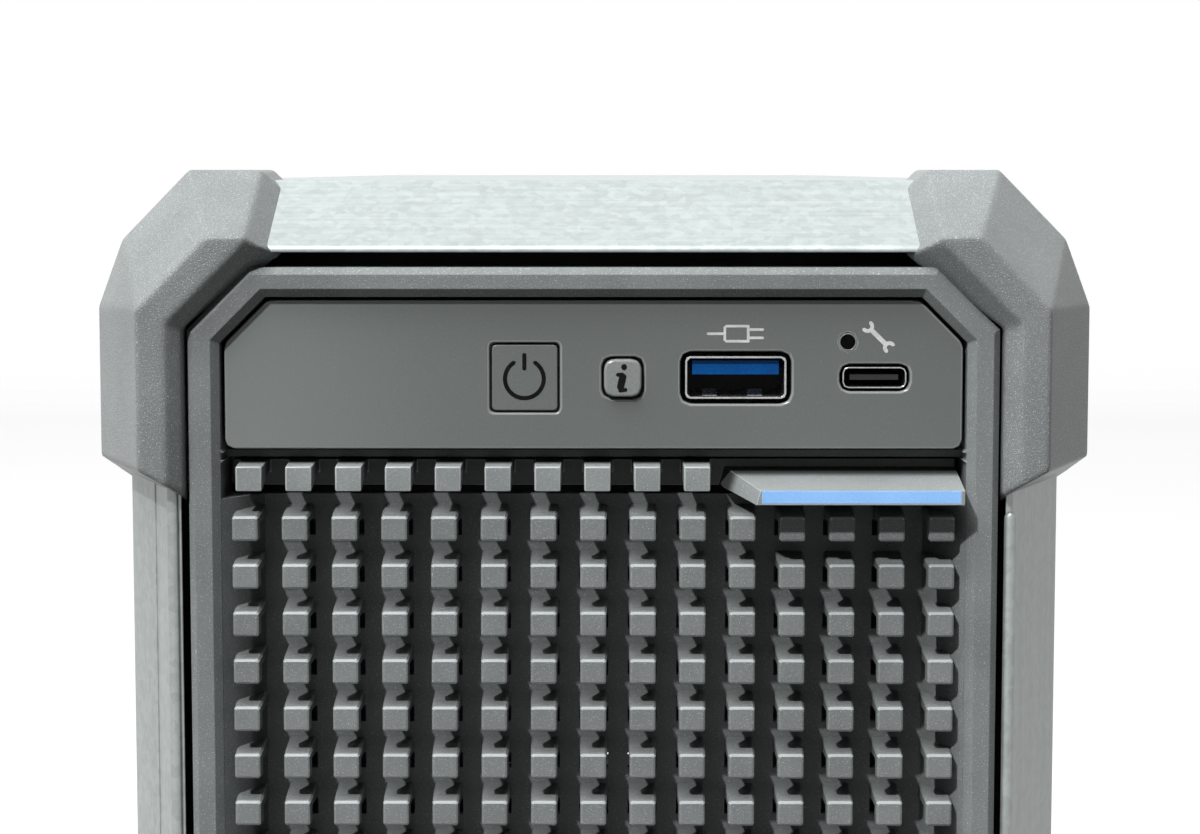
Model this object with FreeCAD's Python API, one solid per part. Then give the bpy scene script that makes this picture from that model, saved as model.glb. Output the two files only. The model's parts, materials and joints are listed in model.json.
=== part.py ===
import FreeCAD, Part
import math
import os

from FreeCAD import Placement, Rotation, Vector

# Compact tower server. Millimetres, X to the right, -Y to the front, +Z up,
# origin on the floor under the middle of the machine.

# Overall
HEIGHT = 326.0            # floor to the ridge of the upper bumpers
DEPTH = 380.0             # finger tab to thumbscrew heads
STEEL_WIDTH = 129.6
STEEL_CORNER = 9.6        # long edges of the steel box are folded at 45 degrees
SHEET = 1.0
FOOT_HEIGHT = 2.6         # rubber under the lower bumpers

# Sloped front band of the steel box
TAPER_TOP = 8.6           # drop of the band's front edge below the steel top
TAPER_SIDE = 9.1
TAPER_RUN = 19.5
LIP_SETBACK = 1.5         # band's front edge behind the bezel face
LIP_CORNER = 6.0

# Corner bumpers
BUMPER_PROUD = 1.4        # ridge above the steel top
BUMPER_SIDE_PROUD = 3.6   # ridge outside the steel side
BUMPER_LEAD = 2.5         # front face ahead of the bezel face
BUMPER_RUN = 20.0         # front face to ridge
BUMPER_TAIL = 14.0        # ridge to back end
FACE_STEP = 4.2           # front face outside the steel band's front edge
FACE_DROP = 8.7           # ridge down to the top of the front face
CORNER_CUT_X = 9.3
CORNER_CUT_Z = 9.5
RIDGE_CUT_X = 3.4         # second, smaller facet on the ridge
RIDGE_CUT_Z = 9.2
BUMPER_REACH = 22.7       # along the top, from the ridge side to the inner end
BUMPER_LENGTH = 39.5      # down the side, from the ridge top
BUMPER_SLANT = 3.4        # lower end drops from the outer to the inner side of the face
BUMPER_INNER_SLOPE = 2.1  # inner wall leans back towards the bezel
BUMPER_GAP = 0.4
SWING_GAP = 1.3           # at the lower corners, where the opening bezel dips

# Bezel
BEZEL_CLEAR = 1.0         # to the steel at the sides
BEZEL_CLEAR_TOP = 1.8     # to the steel above and below
BEZEL_CORNER = 8.2
FRAME_DEPTH = 12.0
RIM_SIDE = 4.25           # bezel edge to window
RIM_TOP = 3.9
RIM_BEVEL = 1.1
FRAME_EDGE = 0.9          # chamfer round the front of the frame
FIELD_CORNER = 0.4
DIVIDER = 1.0             # bar between the panel window and the latch slot
DIVIDER_RECESS = 6.0
SLOT_HEIGHT = 5.15        # latch slot under the divider
FLOOR = 2.0
PITCH_X = 6.6
PITCH_Z = 6.4
BLOCK_W = 3.5
BLOCK_H = 3.35
BLOCK_DEPTH = 7.4
BLOCK_ROOT = 1.35         # height of a block where its sloped underside meets the floor
DRAFT_SIDE = 0.15
DRAFT_TOP = 0.8
FIRST_ROW = 7.35          # divider down to the top of the first grille row
VENT_HEIGHT = 2.0         # slot in the floor behind each row
VENT_GAP = 0.15           # under the roots of the blocks
FLANK_RUN = 5.0           # sloped flank from the window's side edge in to the floor

# Bezel hinge
HINGE_R = 1.0
HINGE_PLAY = 0.05
HINGE_SETBACK = 3.4       # axis behind the bezel face
HINGE_UP = 1.95           # axis above the bezel's lower edge
HINGE_INSET = 14.0        # arm in from the bezel's side
ARM_WIDTH = 3.0
ARM_R = 1.8
NOTCH_PLAY = 0.5
PIN_LENGTH = 12.0

# Bezel latch
TAB_PROUD = 4.0           # finger tab ahead of the bezel face
TAB_LENGTH = 31.8
TAB_CHAMFER = 4.5         # left end, across from back to front
TAB_DRAFT = 0.7           # left end, across from bottom to top
TAB_END_GAP = 0.75
TAB_HEIGHT_FRONT = 1.9
TAB_RISE = 1.7
TAB_LOW = 0.1             # tab's lower edge above the floor's upper edge
STRIP_THICKNESS = 1.0
STRIP_EDGE = 0.2          # tab showing under the strip
STRIP_END = 0.5           # and past its right end
LATCH_PLAY = 0.4          # under the divider
LATCH_TRAVEL = 1.0
LATCH_CLEAR = 0.2         # left at the end of the travel
LATCH_BLOCK_SHIFT = 0.55
LATCH_BLOCK_DRAFT = 0.3
HOOK_WIDTH = 10.0
HOOK_THICKNESS = 2.4
HOOK_LIP = 0.9
HOOK_REACH = 4.0          # past the front of the front wall
HOOK_SPREAD = 30.0
HOOK_CLEAR = 1.4

# Control panel
PANEL_GAP = 0.45
PANEL_RECESS = 2.0
PANEL_HEIGHT = 19.8
PANEL_CORNER = 5.8
PANEL_ROUND = 1.2
PANEL_PLATE = 2.2
PANEL_SKIRT = 1.6
PORT_ROW = 10.3           # port centres below the panel's top edge
POWER_FROM_RIGHT = 58.1   # centres, from the panel's right edge
INFO_FROM_RIGHT = 45.1
USB_A_FROM_RIGHT = 30.1
USB_C_FROM_RIGHT = 11.7
LIGHT_FROM_RIGHT = 15.3
LIGHT_DROP = 5.5
POWER_SIZE = 8.7
POWER_ROUND = 0.5
INFO_SIZE = 5.0
INFO_PROUD = 0.9
INFO_ROUND = 1.2
BUTTON_GAP = 0.3
BUTTON_TRAVEL = 1.0
BUTTON_FLANGE = 1.2
STEM = 4.0
LIGHT_R = 1.0
LIGHT_PLAY = 0.07
USB_A_W = 12.9
USB_A_H = 5.12
USB_A_WALL = 0.28
USB_A_PLAY = 0.65
USB_A_ROUND = 0.4         # corners of the shell, inside
USB_C_W = 8.1
USB_C_H = 2.45
USB_C_WALL = 0.2
USB_C_PLAY = 0.4
USB_C_ROUND = 0.6
USB_C_TONGUE = 0.7
USB_C_SIDE = 0.83         # tongue to the shell's ends
USB_A_SIDE = 1.4
TONGUE_SHARE = 0.36       # of the mouth's height
PORT_SETBACK = 0.4        # shells behind the panel face
PORT_BACK = 3.0           # insulator at the back of each shell
BOARD_GAP = 2.0           # control board in front of the front wall
PCB = 1.6
SWITCH = 6.0
SWITCH_HEIGHT = 3.5
BOSS = 4.0

# Main board
STANDOFF = 6.5
BOARD_SETBACK = 2.0       # board edge in front of the rear panel
BOARD_DEPTH = 224.0
BOARD_MARGIN = 3.6
BOARD_DROP = 8.0          # board edge below the steel top, clear of the folded edge
BOARD_SCREW = 5.5         # across flats
BOARD_SCREW_HEAD = 2.0
SOCKET = 44.0
SOCKET_HEIGHT = 4.0
CPU = 37.5
CPU_HEIGHT = 3.0
CPU_DOWN = 84.0           # processor below the board's top edge
CPU_IN = 88.0             # processor in front of the board's rear edge
SINK = 92.0
SINK_BASE = 6.0
SINK_FIN_ROWS = 70.0
SINK_HEIGHT = 56.0
SINK_FIN = 1.0
SINK_PITCH = 5.0
SINK_SCREW_R = 2.0
SINK_SCREW_EDGE = 5.0
DIMM_LENGTH = 133.35
DIMM_HEIGHT = 31.25
DIMM_SLOT_END = 4.3       # slot past each end of its module
DIMM_SLOT_W = 6.4
DIMM_SLOT_H = 9.0
DIMM_PITCH = 10.0
DIMM_IN = 55.0            # first slot behind the board's front edge
DIMM_DOWN = 10.0
DIMM_CHIPS = 5
DIMM_CHIP = 14.0
LATCH_LEVER = 18.0
LATCH_LEVER_W = 4.0
LEVER_THICKNESS = 2.6
TRUNNION_R = 1.0
COIN_HOLDER = 22.0
COIN_R = 10.0
COIN_HEIGHT = 3.2
COIN_IN = 94.0            # behind the board's front edge
CHIPSET = 38.0
CHIPSET_BASE = 3.0
CHIPSET_HEIGHT = 12.0
CHIPSET_FIN = 2.0
CHIPSET_PITCH = 6.0
CHIPSET_IN = 29.0         # behind the board's front edge
CHIPSET_UP = 60.0
POWER_HEADER_W = 10.0
POWER_HEADER_H = 12.0
POWER_HEADER_LENGTH = 52.0
POWER_HEADER_DOWN = 122.0
POWER_PLUG = 21.0
DATA_HEADER_IN = 8.0
DATA_HEADER_PITCH = 11.0
DATA_HEADER_UP = 20.0

# Cables
POWER_CABLE = 5.0
POWER_CABLE_BEND = 6.0
POWER_CABLE_RUN = 10.0    # straight out of the supply
POWER_CABLE_LEAN = 36.0
POWER_CABLE_INSET = 2.0
DATA_CABLE = 1.2
DATA_CABLE_W = 8.0
DATA_CABLE_BEND = 3.0
DATA_CABLE_RUN = 4.5
DATA_CABLE_RISE = 8.0
DATA_CABLE_STEP = 5.0     # between the two cables
DATA_CABLE_INSET = 3.4

# Expansion slots and rear ports
EXPANSION_PITCH = 20.32
EXPANSION_UP = 14.0       # first slot above the board's lower edge
SOCKET_SHORT = 39.0       # length of the lowest card socket
SOCKET_LONG = 89.0
SOCKET_W = 7.5
SOCKET_RISE = 11.0
SOCKET_FLOOR = 4.0
SOCKET_GROOVE = 1.8
SOCKET_END = 2.0
SOCKET_IN = 46.0          # in front of the board's rear edge
BRACKET_LENGTH = 74.0
BRACKET_W = 18.4
BRACKET_TAB = 10.0
SLOT_OPENING = 13.0
RETAINER_R = 3.0
IO_LENGTH = 158.0
IO_HEIGHT = 44.0
IO_DOWN = 5.0
PORT_DEPTH = 21.0
PORT_PROUD = 0.6
PORT_TAIL = 8.0           # solid behind each mouth
SERIAL_DOWN = 24.0        # port centres below the top of the port plate
VIDEO_DOWN = 60.0
USB_DOWN = 90.0
USB_STEP = 18.0
NETWORK_DOWN = 127.0
NETWORK_STEP = 19.0
JACK_W = 16.0
JACK_RISE = 13.5
JACK_MOUTH_W = 11.8
JACK_MOUTH_H = 8.5
STACK_RISE = 16.0
STACK_MARGIN = 1.0
TONGUE_SHY = 2.0
D_LENGTH = 30.8
D_RISE = 12.5
D_SHELL_W = 8.0
D_SHELL_LONG = 17.0
D_SHELL_SHORT = 14.4
D_SHELL_PROUD = 2.0
D_NUT = 4.8
D_NUT_PROUD = 1.6
D_NUT_SPREAD = 12.5
REAR_EDGE = 4.0
REAR_VENT = 5.0
REAR_SCREW = 7.0          # across flats
REAR_SCREW_HEAD = 2.0
REAR_SCREW_INSET = 8.0

# Cooling
FAN = 92.0
FAN_DEPTH = 25.0
FAN_BORE_R = 44.0
FAN_HUB_R = 18.0
FAN_BLADES = 7
FAN_BLADE_ANGLE = 35.0
FAN_CHORD = 20.0
FAN_STRUT = 3.0
FAN_PLAY = 1.0
FAN_TIP_GAP = 2.5
FAN_UP = 36.0             # fan centre above mid-height
BLADE = 1.2
SPINDLE_R = 2.0
GUARD_BAR = 3.0

# Power supply
PSU_W = 85.0
PSU_H = 65.0
PSU_SIDE = 9.6            # off the right panel
PSU_CABLE_ROOM = 19.8     # behind the drives
PSU_EDGE = 4.0
PSU_VENT = 4.0
PSU_FAN_R = 34.0
PSU_FAN_DEPTH = 12.0
PSU_HUB_R = 14.3
PSU_BLADES = 7
PSU_BLADE_ANGLE = 40.0
PSU_CHORD = 11.0
CORE = 26.0               # transformer
CAN = 18.0                # capacitor
CAN_HEIGHT = 30.0
PLATE = 4.0               # cooling plate
PLATE_LENGTH = 65.0
INLET_W = 27.5
INLET_H = 19.8
INLET_D = 20.0
INLET_WALL = 1.8
INLET_FLANGE = 1.2
BLADE_PIN_W = 2.0
BLADE_PIN_H = 4.0
BLADE_PIN_PITCH = 7.0
BLADE_PIN_SHY = 5.0

# Drives
DRIVE_W = 101.6
DRIVE_H = 26.1
DRIVE_D = 147.0
DRIVE_LIP = 3.0
TRAY = 1.2
DECK_ROOM = 3.0           # over each drive
CAGE_FRONT_GAP = 6.0      # cage behind the front wall
CAGE_SIDE_PLAY = 1.2

# Side cover
COVER_GAP = 0.3
COVER_FRONT = 15.5        # cover's front edge behind the shoulder
COVER_TRAVEL = 14.0
COVER_HEM = 6.0
COVER_FLANGE = 13.0
SCREW_R = 6.0
SCREW_HEAD = 3.0
SCREW_SHANK = 2.0

# Small rounds are cut as flats that lie this far inside the circle at most
ROUND_ERROR = 0.15

# Levels worked out from the sizes above
FRONT_Y = -DEPTH / 2
REAR_Y = DEPTH / 2
BEZEL_Y = FRONT_Y + TAB_PROUD
BUMPER_Y = BEZEL_Y - BUMPER_LEAD
RIDGE_Y = BUMPER_Y + BUMPER_RUN
LIP_Y = BEZEL_Y + LIP_SETBACK
SHOULDER_Y = LIP_Y + TAPER_RUN
WALL_BACK_Y = SHOULDER_Y + SHEET
PANEL_Y = BEZEL_Y + PANEL_RECESS
FLOOR_Y = BEZEL_Y + BLOCK_DEPTH
FRAME_BACK_Y = BEZEL_Y + FRAME_DEPTH
REAR_FACE_Y = REAR_Y - SCREW_HEAD - SHEET
REAR_IN_Y = REAR_FACE_Y - SHEET

STEEL_HALF = STEEL_WIDTH / 2
INNER_HALF = STEEL_HALF - SHEET
LIP_HALF = STEEL_HALF - TAPER_SIDE
BEZEL_HALF = LIP_HALF - SHEET - BEZEL_CLEAR
WINDOW_HALF = BEZEL_HALF - RIM_SIDE
PANEL_HALF = WINDOW_HALF - PANEL_GAP
RIDGE_HALF = STEEL_HALF + BUMPER_SIDE_PROUD
FACE_HALF = LIP_HALF + FACE_STEP

STEEL_TOP = HEIGHT - BUMPER_PROUD
STEEL_BOTTOM = FOOT_HEIGHT + BUMPER_PROUD
TOP_IN = STEEL_TOP - SHEET
BOTTOM_IN = STEEL_BOTTOM + SHEET
MID_Z = (STEEL_TOP + STEEL_BOTTOM) / 2
LIP_TOP = STEEL_TOP - TAPER_TOP
LIP_BOTTOM = STEEL_BOTTOM + TAPER_TOP
BEZEL_TOP = STEEL_TOP - TAPER_TOP - SHEET - BEZEL_CLEAR_TOP
BEZEL_BOTTOM = 2 * MID_Z - BEZEL_TOP
WINDOW_TOP = BEZEL_TOP - RIM_TOP
PANEL_TOP = WINDOW_TOP - PANEL_GAP
PANEL_BOTTOM = PANEL_TOP - PANEL_HEIGHT
DIVIDER_TOP = PANEL_BOTTOM - PANEL_GAP
DIVIDER_BOTTOM = DIVIDER_TOP - DIVIDER
GRILLE_TOP = DIVIDER_BOTTOM - SLOT_HEIGHT
FIELD_BOTTOM = BEZEL_BOTTOM + RIM_TOP
HINGE_Y = BEZEL_Y + HINGE_SETBACK
HINGE_Z = BEZEL_BOTTOM + HINGE_UP
PORT_Z = PANEL_TOP - PORT_ROW
CONTROL_Y = SHOULDER_Y - BOARD_GAP - PCB
BOARD_BACK = INNER_HALF - STANDOFF
BOARD_FACE = BOARD_BACK - PCB
BOARD_REAR = REAR_IN_Y - BOARD_SETBACK
BOARD_FRONT = BOARD_REAR - BOARD_DEPTH
BOARD_TOP = TOP_IN - BOARD_DROP
PSU_TOP = BOTTOM_IN + SHEET + PSU_H
BOARD_BOTTOM = PSU_TOP + BOARD_MARGIN * 2
FAN_Z = MID_Z + FAN_UP
PSU_X1 = INNER_HALF - PSU_SIDE
PSU_X0 = PSU_X1 - PSU_W
CAGE_Y0 = WALL_BACK_Y + CAGE_FRONT_GAP
CAGE_Y1 = CAGE_Y0 + DRIVE_D + TRAY
DECK = DRIVE_H + 2 * TRAY + DECK_ROOM
PSU_Y0 = CAGE_Y1 + PSU_CABLE_ROOM
DIMM_SLOT_LENGTH = DIMM_LENGTH + 2 * DIMM_SLOT_END
COVER_Y0 = SHOULDER_Y + COVER_FRONT


# Shape helpers
def box(x0, x1, y0, y1, z0, z1):
    return Part.makeBox(x1 - x0, y1 - y0, z1 - z0, Vector(x0, y0, z0))


def block(x, y0, y1, z, width, height):
    return box(x - width / 2, x + width / 2, y0, y1, z - height / 2, z + height / 2)


def face_of(points):
    return Part.Face(Part.makePolygon(points + points[:1]))


def prism_x(outline, x0, x1):
    return face_of([Vector(x0, y, z) for y, z in outline]).extrude(Vector(x1 - x0, 0, 0))


def prism_y(outline, y0, y1):
    return face_of([Vector(x, y0, z) for x, z in outline]).extrude(Vector(0, y1 - y0, 0))


def prism_z(outline, z0, z1):
    return face_of([Vector(x, y, z0) for x, y in outline]).extrude(Vector(0, 0, z1 - z0))


def taper_y(outline0, y0, outline1, y1):
    front = [Vector(x, y0, z) for x, z in outline0]
    back = [Vector(x, y1, z) for x, z in outline1]
    faces = [face_of(front), face_of(back)]
    for i in range(len(front)):
        faces.append(face_of([front[i - 1], front[i], back[i], back[i - 1]]))
    return Part.makeSolid(Part.makeShell(faces))


def flats(r):
    return 4 * math.ceil(math.pi * math.sqrt(r / ROUND_ERROR / 2) / 4)


def hole(r):
    # Corner radius of the flat-sided hole that a round pin of radius r just fits
    return r / math.cos(math.pi / flats(r))


def arc(r, u, v, start, turn, steps):
    points = []
    for i in range(steps + 1):
        angle = start + turn * i / steps
        points.append((u + r * math.cos(angle), v + r * math.sin(angle)))
    return points


def circle(r, u, v):
    return arc(r, u, v, 0, 2 * math.pi, flats(r))[:-1]


def rod_x(r, x0, x1, y, z):
    return prism_x(circle(r, y, z), x0, x1)


def rod_y(r, y0, y1, x, z):
    return prism_y(circle(r, x, z), y0, y1)


def rod_z(r, z0, z1, x, y):
    return prism_z(circle(r, x, y), z0, z1)


def pivot(r, start, end):
    # True cylinder, for what turns
    return Part.makeCylinder(r, (end - start).Length, start, end - start)


def hex_x(across, x0, x1, y, z):
    r = across / math.sqrt(3)
    outline = []
    for i in range(6):
        angle = math.radians(60 * i)
        outline.append((y + r * math.cos(angle), z + r * math.sin(angle)))
    return prism_x(outline, x0, x1)


def hex_y(across, y0, y1, x, z):
    r = across / math.sqrt(3)
    outline = []
    for i in range(6):
        angle = math.radians(60 * i)
        outline.append((x + r * math.cos(angle), z + r * math.sin(angle)))
    return prism_y(outline, y0, y1)


def rounded_y(width, height, radius, y0, y1, x, z):
    outline = []
    for i, (side, rise) in enumerate(((1, 1), (-1, 1), (-1, -1), (1, -1))):
        u = x + side * (width / 2 - radius)
        v = z + rise * (height / 2 - radius)
        outline += arc(radius, u, v, i * math.pi / 2, math.pi / 2, flats(radius) // 4)
    return prism_y(outline, y0, y1)


def trim(shape, a, b, c, outside):
    normal = (b - a).cross(c - a)
    if normal.dot(outside - a) < 0:
        normal = normal * -1
    span = 2 * (HEIGHT + DEPTH)
    slab = Part.makeBox(span, span, span, Vector(-span / 2, -span / 2, 0))
    slab.Placement = Placement(a, Rotation(Vector(0, 0, 1), normal))
    return shape.cut(slab)


def chamfered(half, bottom, top, corner_bottom, corner_top):
    return [
        (-half + corner_bottom, bottom), (half - corner_bottom, bottom),
        (half, bottom + corner_bottom), (half, top - corner_top),
        (half - corner_top, top), (-half + corner_top, top),
        (-half, top - corner_top), (-half, bottom + corner_bottom),
    ]


def rounded(outline, r):
    # Convex outline, listed anticlockwise, with its corners eased
    points = []
    for i, (u, v) in enumerate(outline):
        next_u, next_v = outline[(i + 1) % len(outline)]
        run_in = Vector(u - outline[i - 1][0], v - outline[i - 1][1], 0).normalize()
        run_out = Vector(next_u - u, next_v - v, 0).normalize()
        turn = run_in.getAngle(run_out)
        reach = r * math.tan(turn / 2)
        centre_u = u - run_in.x * reach - run_in.y * r
        centre_v = v - run_in.y * reach + run_in.x * r
        start = math.atan2(-run_in.x, run_in.y)
        points += arc(r, centre_u, centre_v, start, turn, math.ceil(flats(r) * turn / (2 * math.pi)))
    return points


def inset_corner(corner, inset):
    return corner - inset * (2 - math.sqrt(2))


def ribbon(points, radius, thickness, width_axis, low, high):
    # Flat cable along a planar route of straight runs joined by bends
    places = [points[0]]
    runs = [(points[1] - points[0]).normalize()]
    for before, corner, after in zip(points, points[1:], points[2:]):
        run_in = (corner - before).normalize()
        run_out = (after - corner).normalize()
        turn = run_in.getAngle(run_out)
        start = corner - run_in * (radius * math.tan(turn / 2))
        centre = start + (run_out - run_in * run_in.dot(run_out)).normalize() * radius
        axis = run_in.cross(run_out)
        steps = math.ceil(flats(radius) * turn / (2 * math.pi))
        for i in range(steps + 1):
            spin = Rotation(axis, math.degrees(turn) * i / steps)
            places.append(centre + spin.multVec(start - centre))
            runs.append(spin.multVec(run_in))
    places.append(points[-1])
    runs.append((points[-1] - points[-2]).normalize())
    left = []
    right = []
    for place, run in zip(places, runs):
        across = run.cross(width_axis) * (thickness / 2)
        left.append(place + width_axis * low + across)
        right.append(place + width_axis * low - across)
    return face_of(left + right[::-1]).extrude(width_axis * (high - low))


def flip(shape):
    return shape.mirror(Vector(0, 0, 0), Vector(1, 0, 0))


def drop(shape):
    return shape.mirror(Vector(0, 0, MID_Z), Vector(0, 0, 1))


def group(solids):
    return Part.makeCompound(solids)


# Steel box
def steel_outline(inset):
    corner = inset_corner(STEEL_CORNER, inset)
    return chamfered(STEEL_HALF - inset, STEEL_BOTTOM + inset, STEEL_TOP - inset, corner, corner)


def lip_outline():
    return chamfered(LIP_HALF, LIP_BOTTOM, LIP_TOP, LIP_CORNER, LIP_CORNER)


def steel_envelope():
    front = taper_y(lip_outline(), LIP_Y, steel_outline(0), SHOULDER_Y)
    return front.fuse(prism_y(steel_outline(0), SHOULDER_Y, REAR_FACE_Y))


def steel_inside(y0, y1):
    return prism_y(steel_outline(SHEET), y0, y1)


def top_section(half, top, corner):
    # Flat top with a 45 degree fold at each side
    inner = inset_corner(corner, SHEET)
    outer_half = [(half, top - corner), (half - corner, top)]
    inner_half = [(half - SHEET - inner, top - SHEET), (half - SHEET, top - SHEET - inner)]
    right = outer_half + [(-x, z) for x, z in outer_half[::-1]]
    left = [(-x, z) for x, z in inner_half[::-1]] + inner_half
    return right + left


def side_section(half, bottom, top, corner):
    fold = SHEET + inset_corner(corner, SHEET)
    return [
        (half, bottom + corner), (half, top - corner),
        (half - SHEET, top - fold), (half - SHEET, bottom + fold),
    ]


def top_panel():
    section = top_section(STEEL_HALF, STEEL_TOP, STEEL_CORNER)
    band = taper_y(top_section(LIP_HALF, LIP_TOP, LIP_CORNER), LIP_Y, section, SHOULDER_Y)
    return band.fuse(prism_y(section, SHOULDER_Y, REAR_FACE_Y)).removeSplitter()


def side_panel(end_y):
    section = side_section(STEEL_HALF, STEEL_BOTTOM, STEEL_TOP, STEEL_CORNER)
    lip = side_section(LIP_HALF, LIP_BOTTOM, LIP_TOP, LIP_CORNER)
    band = taper_y(lip, LIP_Y, section, SHOULDER_Y)
    return band.fuse(prism_y(section, SHOULDER_Y, end_y)).removeSplitter()


def finger_guard():
    # Cross left standing in the wall in front of the fan
    return [
        block(0, SHOULDER_Y, WALL_BACK_Y, FAN_Z, 2 * FAN_BORE_R, GUARD_BAR),
        block(0, SHOULDER_Y, WALL_BACK_Y, FAN_Z, GUARD_BAR, 2 * FAN_BORE_R),
    ]


def front_wall():
    # Two plates, one over the latch hooks and one under them
    hook_low, hook_high = hook_levels()
    floor_z = hook_low - LATCH_TRAVEL - HOOK_CLEAR
    roof_z = hook_high + HOOK_LIP + HOOK_CLEAR
    x0, x1, z0, z1 = cable_header()
    upper = box(-INNER_HALF, INNER_HALF, SHOULDER_Y, WALL_BACK_Y, roof_z, TOP_IN)
    upper = upper.cut(box(
        x0 - HOOK_CLEAR, x1 + HOOK_CLEAR, SHOULDER_Y, WALL_BACK_Y, z0 - HOOK_CLEAR, z1 + HOOK_CLEAR))
    lower = box(-INNER_HALF, INNER_HALF, SHOULDER_Y, WALL_BACK_Y, BOTTOM_IN, floor_z)
    cuts = [rod_y(FAN_BORE_R, SHOULDER_Y, WALL_BACK_Y, 0, FAN_Z).cut(finger_guard())]
    slot_half = FAN / 2
    slot_z = BOTTOM_IN + DECK / 2
    while slot_z < FAN_Z - FAN / 2 - PITCH_Z:
        cuts.append(box(-slot_half, slot_half, SHOULDER_Y, WALL_BACK_Y, slot_z, slot_z + PITCH_Z / 2))
        slot_z += 2 * PITCH_Z
    inside = steel_inside(SHOULDER_Y, WALL_BACK_Y)
    return group([upper.common(inside), lower.common(inside).cut(cuts)])


def cover():
    low = STEEL_BOTTOM + STEEL_CORNER + SHEET
    high = STEEL_TOP - STEEL_CORNER - SHEET
    outer = -STEEL_HALF
    inner = -INNER_HALF
    plate = box(outer, inner, COVER_Y0, REAR_FACE_Y + SHEET, low, high)
    hem_end = REAR_IN_Y - COVER_TRAVEL - SHEET
    pieces = [
        box(inner, inner + COVER_HEM, COVER_Y0, hem_end, high - SHEET, high),
        box(inner, inner + COVER_HEM, COVER_Y0, hem_end, low, low + SHEET),
        box(inner, inner + COVER_FLANGE, REAR_FACE_Y, REAR_FACE_Y + SHEET, low, high),
    ]
    tongue_reach = COVER_FRONT / 2
    for z in (low + COVER_FLANGE * 2, MID_Z, high - COVER_FLANGE * 2):
        z0 = z - COVER_FLANGE
        z1 = z + COVER_FLANGE
        pieces.append(box(inner, inner + SHEET + COVER_GAP, COVER_Y0, COVER_Y0 + COVER_HEM, z0, z1))
        pieces.append(box(
            inner + COVER_GAP, inner + SHEET + COVER_GAP, COVER_Y0 - tongue_reach, COVER_Y0, z0, z1))
    holes = [rod_y(SCREW_SHANK, REAR_FACE_Y, REAR_FACE_Y + SHEET, x, z) for x, z in thumbscrew_places()]
    return plate.multiFuse(pieces).cut(holes).removeSplitter()


def thumbscrew_places():
    x = -INNER_HALF + COVER_FLANGE / 2
    return [(x, BOTTOM_IN + PSU_H / 2), (x, TOP_IN - PSU_H / 2)]


def cover_thumbscrews():
    solids = []
    for x, z in thumbscrew_places():
        head = rod_y(SCREW_R, REAR_FACE_Y + SHEET, REAR_Y, x, z)
        shank = rod_y(SCREW_SHANK, REAR_IN_Y - COVER_TRAVEL / 2, REAR_FACE_Y + SHEET, x, z)
        solids.append(head.fuse(shank))
    return group(solids)


# Corner bumpers
def bumper(corner_gap):
    # Upper right; the other three are mirrored from it
    tail_y = RIDGE_Y + BUMPER_TAIL
    end_x = RIDGE_HALF - BUMPER_REACH
    face_top = HEIGHT - FACE_DROP
    side_x = RIDGE_HALF - RIDGE_CUT_X
    ridge_x = side_x - CORNER_CUT_X
    corner_z = HEIGHT - CORNER_CUT_Z
    low_z = HEIGHT - BUMPER_LENGTH
    far = Vector(2 * HEIGHT, BUMPER_Y - HEIGHT, 2 * HEIGHT)
    under = Vector(0, 0, 0)

    body = box(end_x - BUMPER_PROUD * 2, RIDGE_HALF, BUMPER_Y, tail_y, low_z - BUMPER_SLANT * 4, HEIGHT)
    face_a = Vector(FACE_HALF - CORNER_CUT_X, BUMPER_Y, face_top)
    face_b = Vector(FACE_HALF, BUMPER_Y, face_top - CORNER_CUT_Z)
    ridge_a = Vector(ridge_x, RIDGE_Y, HEIGHT)
    ridge_b = Vector(side_x, RIDGE_Y, corner_z)
    ridge_c = Vector(RIDGE_HALF, RIDGE_Y, corner_z - RIDGE_CUT_Z)
    back = Vector(0, 1, 0)

    body = trim(body, face_a, face_a + Vector(1, 0, 0), Vector(face_a.x, RIDGE_Y, HEIGHT), far)
    body = trim(body, face_b, face_b + Vector(0, 0, 1), Vector(RIDGE_HALF, RIDGE_Y, face_b.z), far)
    body = trim(body, face_a, face_b, ridge_a, far)
    body = trim(body, ridge_a, ridge_b, ridge_a + back, far)
    body = trim(body, face_b, ridge_b, ridge_c, far)
    body = trim(body, ridge_b, ridge_c, ridge_b + back, far)
    end_top = Vector(end_x, RIDGE_Y, HEIGHT)
    end_front = Vector(end_x, BUMPER_Y, face_top)
    end_low = end_top + Vector(-BUMPER_PROUD, 0, -BUMPER_PROUD)
    middle = Vector(-HEIGHT, RIDGE_Y, HEIGHT)
    body = trim(body, end_top, end_front, end_low, middle)
    body = trim(body, end_top, end_low, end_top + back, middle)
    slant_ridge = Vector(RIDGE_HALF, RIDGE_Y, low_z)
    slant_face = Vector(FACE_HALF, BUMPER_Y, low_z)
    slant_in = Vector(BEZEL_HALF, BUMPER_Y, low_z - BUMPER_SLANT)
    body = trim(body, slant_ridge, slant_face, slant_in, under)

    near = bezel_pocket(BUMPER_GAP, corner_gap)
    open_front = bezel_pocket(BUMPER_GAP + BUMPER_INNER_SLOPE, corner_gap + BUMPER_INNER_SLOPE)
    slope_y = BUMPER_Y + BUMPER_INNER_SLOPE
    pocket = prism_y(near, slope_y, SHOULDER_Y).fuse(taper_y(open_front, BUMPER_Y, near, slope_y))
    return body.cut([steel_envelope(), pocket]).removeSplitter()


def bezel_pocket(gap, corner_gap):
    # Room for the bezel's corner, open towards the middle of the front
    half = BEZEL_HALF + gap
    diagonal = BEZEL_TOP - BEZEL_CORNER + corner_gap * math.sqrt(2) - gap
    return [(0, 0), (half, 0), (half, diagonal), (0, diagonal + half)]


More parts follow.
